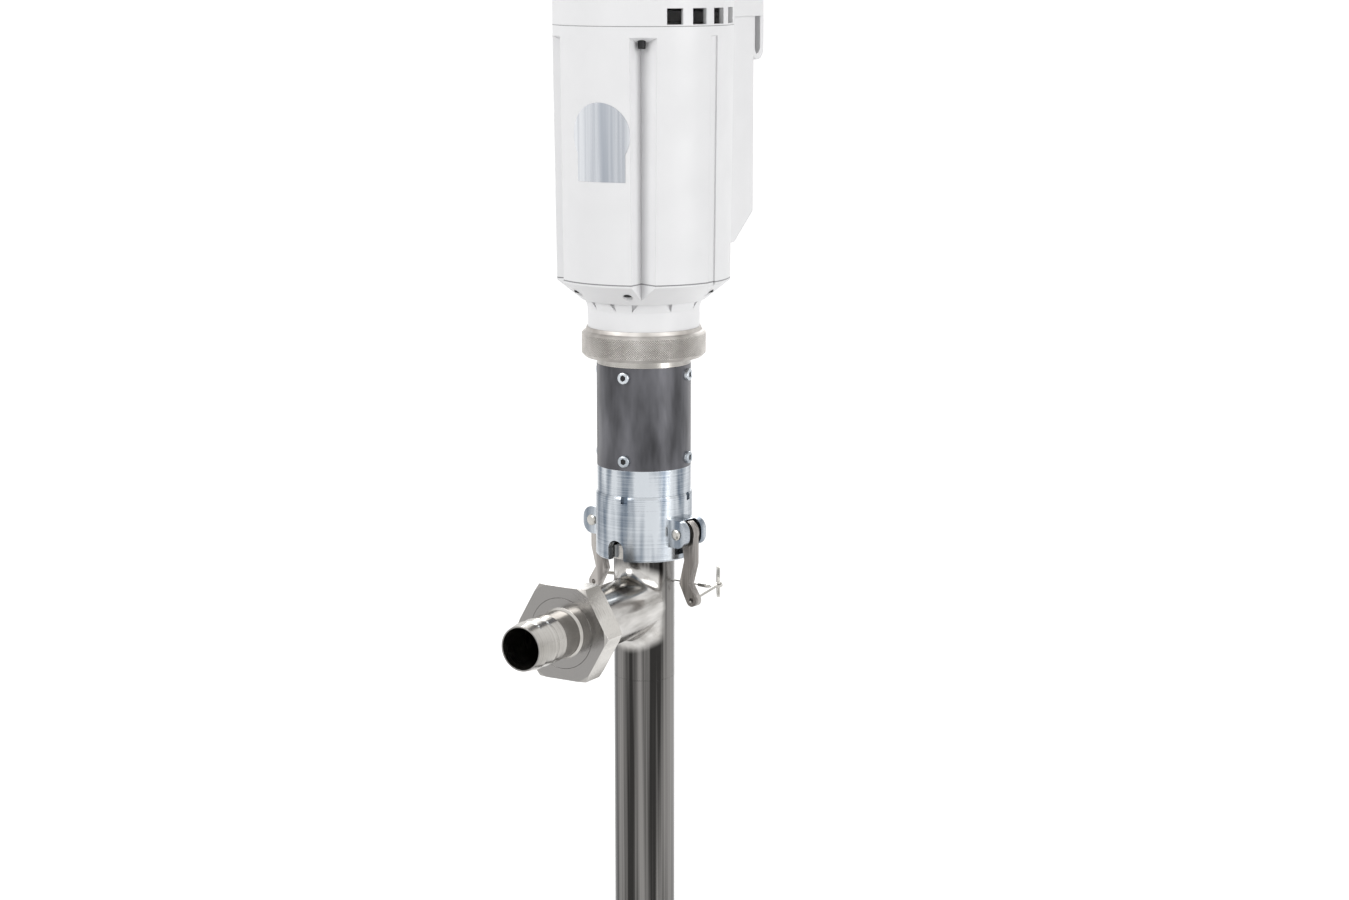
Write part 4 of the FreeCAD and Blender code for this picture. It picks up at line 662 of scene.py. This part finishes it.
class RingOfCopies:
    """A Geometry Nodes tree that sets copies of a piece round the pump's axis."""

    def __init__(self) -> None:
        """Build the tree with its named inputs."""
        self.tree = bpy.data.node_groups.new("ring_of_copies", "GeometryNodeTree")
        face = self.tree.interface
        self.sockets = {}
        face.new_socket(name="Geometry", in_out="INPUT", socket_type="NodeSocketGeometry")
        for name, kind in (("Count", "NodeSocketInt"), ("Rows", "NodeSocketInt"), ("Step", "NodeSocketFloat"),
                           ("Start", "NodeSocketFloat"), ("Row Rise", "NodeSocketFloat"),
                           ("Material", "NodeSocketMaterial")):
            self.sockets[name] = face.new_socket(name=name, in_out="INPUT", socket_type=kind).identifier
        face.new_socket(name="Geometry", in_out="OUTPUT", socket_type="NodeSocketGeometry")
        tree = self.tree
        given = add_node(tree, "NodeGroupInput").outputs
        total = maths(tree, "MULTIPLY", given["Count"], given["Rows"])
        points = add_node(tree, "GeometryNodeMeshLine", {"Count": total, "Offset": (0.0, 0.0, 0.0)})
        index = add_node(tree, "GeometryNodeInputIndex").outputs[0]
        row = maths(tree, "FLOOR", maths(tree, "DIVIDE", index, given["Count"]))
        rise = maths(tree, "MULTIPLY", row, given["Row Rise"])
        lift = add_node(tree, "ShaderNodeCombineXYZ", {2: rise})
        placed = add_node(tree, "GeometryNodeSetPosition", {
            "Geometry": points.outputs[0], "Offset": lift.outputs[0]})
        turn = maths(tree, "MULTIPLY_ADD", index, given["Step"], given["Start"])
        angles = add_node(tree, "ShaderNodeCombineXYZ", {2: turn})
        spin = add_node(tree, "FunctionNodeEulerToRotation", {0: angles.outputs[0]})
        copies = add_node(tree, "GeometryNodeInstanceOnPoints", {
            "Points": placed.outputs[0], "Instance": given["Geometry"], "Rotation": spin.outputs[0]})
        real = add_node(tree, "GeometryNodeRealizeInstances", {0: copies.outputs[0]})
        painted = add_node(tree, "GeometryNodeSetMaterial", {
            0: real.outputs[0], "Material": given["Material"]})
        add_node(tree, "NodeGroupOutput", {0: painted.outputs[0]})

    def spread(self, thing: Object, material: bpy.types.Material, count: int, step: float,
               start: float = 0.0, rows: int = 1, rise: float = 0.0) -> Object:
        """Replace a piece's mesh by its copies round the axis.

        Args:
            thing: The object whose mesh is one copy, in its place at angle zero.
            material: The copies' material.
            count: How many stand in a row.
            step: The angle from one to the next, in degrees.
            start: The first one's angle, in degrees.
            rows: How many rows there are.
            rise: The height from row to row, in millimetres.

        Returns:
            The same object with a plain mesh.
        """
        modifier = thing.modifiers.new("copies", "NODES")
        modifier.node_group = self.tree
        values = {"Count": count, "Rows": rows, "Step": math.radians(step), "Start": math.radians(start),
                  "Row Rise": rise * MM, "Material": material}
        for name, setting in values.items():
            modifier[self.sockets[name]] = setting
        evaluated = thing.evaluated_get(bpy.context.evaluated_depsgraph_get())
        mesh = bpy.data.meshes.new_from_object(evaluated)
        thing.modifiers.remove(modifier)
        thing.data = mesh
        return thing


@dataclass
class SuctionTube:
    """The long tube with its foot, pump stage and drive shaft."""

    finishes: Finishes
    tube_radius: float = 25.4
    weld_low: float = 977.3
    weld_high: float = 978.0
    weld_proud: float = 0.01
    weld_points: int = 160
    merge_below: float = 0.001

    def weld(self) -> Object:
        """The polished weld that fills the tube's chamfer flush where the tee begins."""
        mesh = bmesh.new()
        outer = self.tube_radius + self.weld_proud
        inner = self.tube_radius - (self.weld_high - self.weld_low)
        profile = ((outer, self.weld_low), (outer, self.weld_high), (inner, self.weld_high))
        loops = [Mesher.circle(radius, height, self.weld_points) for radius, height in profile]
        Mesher.rings(mesh, loops + loops[:1], close=False)
        bmesh.ops.remove_doubles(mesh, verts=mesh.verts, dist=self.merge_below)
        return Mesher.piece("polished_weld", mesh, self.finishes["polished_stainless_tube"])

    def build(self) -> None:
        """Dress the tube and what turns in it, and fill the weld."""
        paint = self.finishes.paint
        paint("polished_stainless_tube", "outer_tube", "stator_housing")
        paint("turned_stainless_pump", "inlet_foot")
        paint("moulded_nitrile", "stator_liner", "shaft_seal")
        paint("turned_fluoropolymer", "shaft_bushes")
        paint("ground_steel_shaft", "rotor", "connecting_rod", "shaft_cup", "drive_shaft")
        weld = self.weld()
        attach(weld, "pump")


@dataclass
class Discharge:
    """The tee's branch, the union and the hose tail."""

    finishes: Finishes

    def build(self) -> None:
        """Dress the tee, ferrule, nut and tail."""
        paint = self.finishes.paint
        paint("pulled_stainless_tee", "tee_body")
        paint("turned_stainless_branch", "union_ferrule", "union_nut", "hose_tail")
        paint("moulded_nitrile", "union_gasket")


@dataclass
class CamCoupling:
    """The coupling with its two cam levers, pins and wire.

    A head's profile gives each ring's share of the head's radius, and its height.
    """

    finishes: Finishes
    copies: RingOfCopies
    pivot_height: float = 1105.6
    pivot_radius: float = 46.5
    pivot_span: float = 30.6
    lever_turn: float = -9.3
    head_radius: float = 4.6
    head_profile: tuple[tuple[float, float], ...] = (
        (1.0, 0.0), (1.0, 0.9), (0.86, 1.5), (0.55, 1.9), (0.2, 2.0))
    head_sink: float = 1.7
    head_points: int = 28

    def pin_heads(self) -> Object:
        """The domed heads on both ends of each lever's pivot pin."""
        mesh = bmesh.new()
        steps = [(share * self.head_radius, height, ROUND) for share, height in self.head_profile]
        start = self.pivot_span / 2 - self.head_sink
        for side in (1, -1):
            turn = Matrix.Rotation(-side * math.pi / 2, 4, "X")
            shift = Matrix.Translation((self.pivot_radius, side * start, self.pivot_height))
            Mesher.stepped(mesh, steps, self.head_points, shift @ turn)
        thing = Mesher.piece("pivot_pin_heads", mesh)
        return self.copies.spread(thing, self.finishes["zinc_plated_steel"], 2, 180.0, self.lever_turn)

    def build(self) -> None:
        """Dress the coupling and add the pins' heads."""
        paint = self.finishes.paint
        paint("turned_aluminium_coupling", "coupler_body", "lock_ring")
        paint("turned_stainless_pump", "cam_adapter")
        paint("moulded_nitrile", "coupler_gasket")
        paint("ground_stainless_lever", "cam_lever_right", "cam_lever_left")
        paint("zinc_plated_steel", "pivot_pins", "ring_pin", "split_ring", "keeper_wire")
        heads = self.pin_heads()
        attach(heads, "pump")


@dataclass
class Reducer:
    """The planetary reducer between two flanges in its black sleeve.

    A head's dome gives each ring's share of the head's radius, and its drop below the top.
    """

    finishes: Finishes
    copies: RingOfCopies
    sleeve_radius: float = 38.9
    low_row: float = 1165.9
    row_rise: float = 69.0
    sleeve_turn: float = 7.25
    head_radius: float = 5.0
    head_height: float = 3.0
    head_root: float = -3.0
    head_dome: tuple[tuple[float, float], ...] = ((1.0, 1.1), (0.96, 0.5), (0.86, 0.12), (0.74, 0.0))
    head_points: int = 36
    socket_radius: float = 2.5
    socket_depth: float = 3.4
    socket_flare: float = 0.35
    socket_chamfer: float = 0.3
    well_drop: float = 0.8
    well_lift: float = 0.02
    well_gap: float = 0.05
    screws_in_row: int = 4
    rows: int = 2

    def in_sleeve(self, name: str, steps: Sequence[tuple[float, float, int]],
                  finish: str) -> Object:
        """One stepped solid at each screw's place, its axis pointing out of the sleeve.

        Args:
            name: The object's name.
            steps: Each ring's radius, height above the sleeve and sides, in order.
            finish: The finish's name.

        Returns:
            The object with all the copies.
        """
        mesh = bmesh.new()
        turn = Matrix.Rotation(math.pi / 2, 4, "Y")
        shift = Matrix.Translation((self.sleeve_radius, 0, self.low_row))
        Mesher.stepped(mesh, steps, self.head_points, shift @ turn)
        thing = Mesher.piece(name, mesh)
        return self.copies.spread(thing, self.finishes[finish], self.screws_in_row, 360 / self.screws_in_row,
                                  self.sleeve_turn - 90, rows=self.rows, rise=self.row_rise)

    def socket_screws(self) -> Object:
        """Eight socket screws with domed heads, four in each of two rows."""
        top = self.head_height
        steps = [(self.head_radius, self.head_root, ROUND)]
        steps += [(share * self.head_radius, top - drop, ROUND) for share, drop in self.head_dome]
        steps += [(self.socket_radius + self.socket_flare, top, HEXAGON),
                  (self.socket_radius, top - self.socket_chamfer, HEXAGON),
                  (self.socket_radius, top - self.socket_depth, HEXAGON)]
        return self.in_sleeve("socket_screws", steps, "chromed_socket_screw")

    def socket_painted_shade(self) -> Object:
        """Dark hexagon plugs in the bottoms of the screws' sockets: painted shade for the sockets' depth."""
        radius = self.socket_radius - self.well_gap
        floor = self.head_height - self.socket_depth + self.well_lift
        steps = [(radius, floor, HEXAGON), (radius, self.head_height - self.well_drop, HEXAGON)]
        return self.in_sleeve("socket_painted_shade", steps, "black_oxide_and_painted_shade")

    def build(self) -> None:
        """Dress the reducer's case and gears and add the screws."""
        paint = self.finishes.paint
        paint("turned_aluminium_coupling", "output_flange")
        paint("turned_stainless_pump", "input_flange")
        paint("black_anodised_sleeve", "reducer_sleeve")
        paint("ground_steel_shaft", "output_bearings", "planet_pins")
        paint("moulded_nitrile", "output_seal")
        paint("hardened_gear_steel", "ring_gear", "sun_gear", "planet_gear_1", "planet_gear_2",
              "planet_gear_3", "planet_carrier", "drive_dog")
        screws = self.socket_screws()
        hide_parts("sleeve_screws")
        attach(screws, "pump")
        # The sockets' dark bottoms are painted shade: a black plug in each hexagon.
        wells = self.socket_painted_shade()
        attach(wells, "pump")


@dataclass
class Motor:
    """The motor with its collar nut, grooved case, cap, rear cover and works.

    A screw's profile gives each ring's share of the screw's radius, its rise above the head's
    face, and its sides.
    """

    finishes: Finishes
    copies: RingOfCopies
    motor_turn: float = -5.0
    low_radius: float = 71.1
    high_radius: float = 73.4
    label_azimuth: float = 2.9
    label_centre: float = 118.5
    label_radius: float = 26.0
    tab_half_width: float = 21.8
    tab_drop: float = 36.5
    label_thickness: float = 0.35
    label_lift: float = 0.02
    label_crown: float = 0.02
    case_hole_reach: float = 60.0
    case_hole_turn: float = 24.5
    case_hole_side: float = 98.6
    case_screw_low: float = 1304.2
    case_screw_high: float = 1308.2
    case_screw_radius: float = 3.6
    groove_turn: float = 35.6
    tie_reach: float = 65.15
    tie_head_low: float = 1500.6
    tie_head_high: float = 1513.2
    tie_head_radius: float = 3.1
    screw_profile: tuple[tuple[float, float, int], ...] = (
        (0.5, 1.6, HEXAGON), (0.55, 0.0, HEXAGON), (0.85, 0.0, ROUND), (1.0, 0.5, ROUND))
    screw_points: int = 24

    def case_radius(self, height: float) -> float:
        """The housing's radius at a height."""
        share = (height - BELL_TOP) / (HOUSING_TOP - BELL_TOP)
        return self.low_radius + share * (self.high_radius - self.low_radius)

    def label(self) -> Object:
        """The foil label, a disc with a square tab below, bent round the housing."""
        centre = BELL_TOP + self.label_centre
        columns, round_rows, tab_rows = 48, 56, 10
        waist = -math.sqrt(self.label_radius ** 2 - self.tab_half_width ** 2)
        lowest = math.acos(waist / self.label_radius)
        crown = self.label_crown
        overs = [self.label_radius * math.cos(crown + (lowest - crown) * row / round_rows)
                 for row in range(round_rows + 1)]
        overs += [waist - (self.tab_drop + waist) * row / tab_rows for row in range(1, tab_rows + 1)]
        rows = len(overs) - 1
        mesh = bmesh.new()
        grid = {}
        for layer, lift in enumerate((self.label_lift, self.label_thickness)):
            for row, over in enumerate(overs):
                height = centre + over
                half = self.tab_half_width
                if row <= round_rows:
                    half = math.sqrt(self.label_radius ** 2 - over ** 2)
                for column in range(columns + 1):
                    across = half * (2 * column / columns - 1)
                    reach = self.case_radius(height) + lift
                    angle = math.radians(self.label_azimuth) + across / reach
                    grid[layer, row, column] = mesh.verts.new(
                        (reach * math.sin(angle), -reach * math.cos(angle), height))
        for layer in (0, 1):
            for row in range(rows):
                for column in range(columns):
                    corners = [grid[layer, row, column], grid[layer, row, column + 1],
                               grid[layer, row + 1, column + 1], grid[layer, row + 1, column]]
                    mesh.faces.new(corners if layer else corners[::-1])
        edge = [(0, c) for c in range(columns + 1)] + [(r, columns) for r in range(1, rows + 1)]
        edge += [(rows, c) for c in range(columns - 1, -1, -1)] + [(r, 0) for r in range(rows - 1, 0, -1)]
        for here, there in zip(edge, edge[1:] + edge[:1]):
            mesh.faces.new((grid[(0,) + here], grid[(0,) + there], grid[(1,) + there], grid[(1,) + here]))
        return Mesher.piece("foil_label", mesh, self.finishes["silver_foil_label"])

    def upright_screws(self, name: str, turn: float, away: float, radius: float, low: float,
                       high: float) -> Object:
        """A pair of black screws, one on each side, with their socketed heads down.

        Args:
            name: The object's name.
            turn: Their angle from the motor's front, in degrees.
            away: Their distance from the pump's axis.
            radius: The screw's radius.
            low: The height of its head's face.
            high: The height of its other end.

        Returns:
            The object with both screws.
        """
        mesh = bmesh.new()
        steps = [(share * radius, low + rise, sides) for share, rise, sides in self.screw_profile]
        steps.append((radius, high, ROUND))
        Mesher.stepped(mesh, steps, self.screw_points, Matrix.Translation((0, -away, 0)))
        thing = Mesher.piece(name, mesh)
        return self.copies.spread(
            thing, self.finishes["black_oxide_and_painted_shade"], 2, 2 * turn, self.motor_turn - turn)

    def build(self) -> None:
        """Dress the motor and add its label and its sunk screws."""
        paint = self.finishes.paint
        paint("knurled_anodised_collar", "collar_nut")
        paint("pale_enamel_case", "end_bell", "motor_housing")
        paint("pale_enamel_cover", "motor_cap", "rear_cover", "cap_hook")
        paint("zinc_plated_steel", "bearing_bridge")
        paint("black_oxide_and_painted_shade", "tie_screws")
        paint("ground_steel_shaft", "motor_shaft", "motor_bearings")
        paint("laminated_iron", "armature_core", "field_core")
        paint("copper_commutator_bars", "commutator")
        paint("stamped_brass", "brush_holders")
        paint("pressed_carbon", "carbon_brushes")
        paint("moulded_nylon", "cooling_fan", "power_switch")
        paint("moulded_nitrile", "cable_inlet")
        label = self.label()
        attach(label, "pump")
        # The case screws are black partly as painted shade: they stand in for the dark of their deep holes.
        case = (self.case_hole_reach, self.case_screw_radius, self.case_screw_low, self.case_screw_high)
        tie = (self.tie_reach, self.tie_head_radius, self.tie_head_low, self.tie_head_high)
        for name, turn, sizes in (
                ("front_case_screws", self.case_hole_turn, case),
                ("side_case_screws", self.case_hole_side, case),
                ("tie_screw_heads", self.groove_turn, tie)):
            screws = self.upright_screws(name, turn, *sizes)
            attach(screws, "pump")


@dataclass
class Studio:
    """The pale floor, the soft lamps, the world's light and the camera."""

    azimuth: float = 31.0
    pitch: float = 10.502
    distance: float = 2213.9
    side_step: float = 25.3
    camera_height: float = 1579.3
    lens: float = 72.42
    sensor_width: float = 36.0
    aim_height: float = 1180.0
    ambient: float = 0.55
    floor_reach: float = 90000.0
    floor_near: float = 700.0
    floor_far: float = 3200.0
    floor_drop: float = 0.5
    floor_colour: str = "f4f4f4"
    floor_roughness: float = 0.9
    glow_near: float = 0.2
    glow_far: float = 0.62

    def camera(self) -> None:
        """Set the camera where the photograph was taken from."""
        turn = math.radians(self.azimuth)
        data = bpy.data.cameras.new("camera")
        data.lens = self.lens
        data.sensor_width = self.sensor_width
        data.sensor_fit = "HORIZONTAL"
        camera = bpy.data.objects.new("camera", data)
        away = Vector((math.sin(turn), -math.cos(turn), 0)) * self.distance
        aside = Vector((math.cos(turn), math.sin(turn), 0)) * self.side_step
        camera.location = (away + aside + Vector((0, 0, self.camera_height))) * MM
        camera.rotation_euler = (math.radians(90 - self.pitch), 0, turn)
        bpy.context.scene.collection.objects.link(camera)
        bpy.context.scene.camera = camera

    def lamp(self, name: str, azimuth: float, distance: float, height: float, size: tuple[float, float],
             power: float) -> None:
        """Hang one soft lamp that faces the pump.

        Args:
            name: The lamp's name.
            azimuth: Its bearing from the pump, in degrees from the front to the right.
            distance: How far away it is, in millimetres.
            height: How high it hangs.
            size: Its width and height.
            power: Its watts.
        """
        data = bpy.data.lights.new(name, "AREA")
        data.shape = "RECTANGLE"
        data.size, data.size_y = size[0] * MM, size[1] * MM
        data.energy = power
        lamp = bpy.data.objects.new(name, data)
        bearing = math.radians(azimuth)
        lamp.location = Vector((math.sin(bearing) * distance, -math.cos(bearing) * distance, height)) * MM
        aim = Vector((0, 0, self.aim_height * MM)) - lamp.location
        lamp.rotation_euler = aim.to_track_quat("-Z", "Y").to_euler()
        bpy.context.scene.collection.objects.link(lamp)

    def seen_rays(self, tree: Tree) -> Socket:
        """One for rays that the camera, a gloss or a glass sends, else zero."""
        path = add_node(tree, "ShaderNodeLightPath")
        first = maths(tree, "MAXIMUM", path.outputs["Is Camera Ray"], path.outputs["Is Glossy Ray"])
        return maths(tree, "MAXIMUM", first, path.outputs["Is Transmission Ray"])

    def world(self) -> None:
        """A plain ambient light that is white where it is seen."""
        world = bpy.data.worlds.new("studio_light")
        world.use_nodes = True
        tree = world.node_tree
        tree.nodes.clear()
        plain = add_node(tree, "ShaderNodeBackground", {"Color": WHITE, "Strength": self.ambient})
        seen = add_node(tree, "ShaderNodeBackground", {"Color": WHITE, "Strength": 1.0})
        mix = add_node(tree, "ShaderNodeMixShader", {
            0: self.seen_rays(tree), 1: plain.outputs[0], 2: seen.outputs[0]})
        add_node(tree, "ShaderNodeOutputWorld", {0: mix.outputs[0]})
        bpy.context.scene.world = world

    def floor(self) -> None:
        """A plain pale floor that stays white where it is seen and keeps the pump's shadow."""
        mesh = bmesh.new()
        reach = self.floor_reach
        corners = [mesh.verts.new(spot) for spot in
                   ((-reach, -reach, 0), (reach, -reach, 0), (reach, reach, 0), (-reach, reach, 0))]
        mesh.faces.new(corners)
        material = bpy.data.materials.new("pale_floor")
        material.use_nodes = True
        tree = material.node_tree
        shader = tree.nodes["Principled BSDF"]
        shader.inputs["Base Color"].default_value = linear(self.floor_colour)
        shader.inputs["Roughness"].default_value = self.floor_roughness
        coords = add_node(tree, "ShaderNodeTexCoord")
        away = add_node(tree, "ShaderNodeVectorMath", {0: coords.outputs["Object"]}, operation="LENGTH")
        # The lamps light the floor near the pump, and its own glow takes over further out
        level = add_node(tree, "ShaderNodeMapRange", {
            "Value": away.outputs["Value"], "From Min": self.floor_near * MM, "From Max": self.floor_far * MM,
            "To Min": self.glow_near, "To Max": self.glow_far})
        glow = maths(tree, "MULTIPLY", self.seen_rays(tree), level.outputs[0])
        shader.inputs["Emission Color"].default_value = WHITE
        tree.links.new(glow, shader.inputs["Emission Strength"])
        floor = Mesher.piece("floor", mesh, material)
        floor.location.z = -self.floor_drop * MM

    def build(self) -> None:
        """Set the whole studio up."""
        scene = bpy.context.scene
        scene.view_settings.view_transform = "Standard"
        self.camera()
        self.world()
        self.floor()
        self.lamp("key", -25.0, 2600.0, 2700.0, (1500.0, 1500.0), 38.0)
        self.lamp("fill", 85.0, 2400.0, 1700.0, (1000.0, 2000.0), 24.0)
        self.lamp("back", 200.0, 2400.0, 2300.0, (1600.0, 1200.0), 22.0)


def main() -> None:
    """Build the studio and each sub-assembly in order."""
    logging.basicConfig(level=logging.INFO, format="%(name)s: %(message)s")
    Studio().build()
    finishes = Finishes()
    copies = RingOfCopies()
    for assembly in (
            SuctionTube(finishes), Discharge(finishes), CamCoupling(finishes, copies),
            Reducer(finishes, copies), Motor(finishes, copies)):
        assembly.build()
        LOG.info("%s done", type(assembly).__name__)


if __name__ == "__main__":
    main()
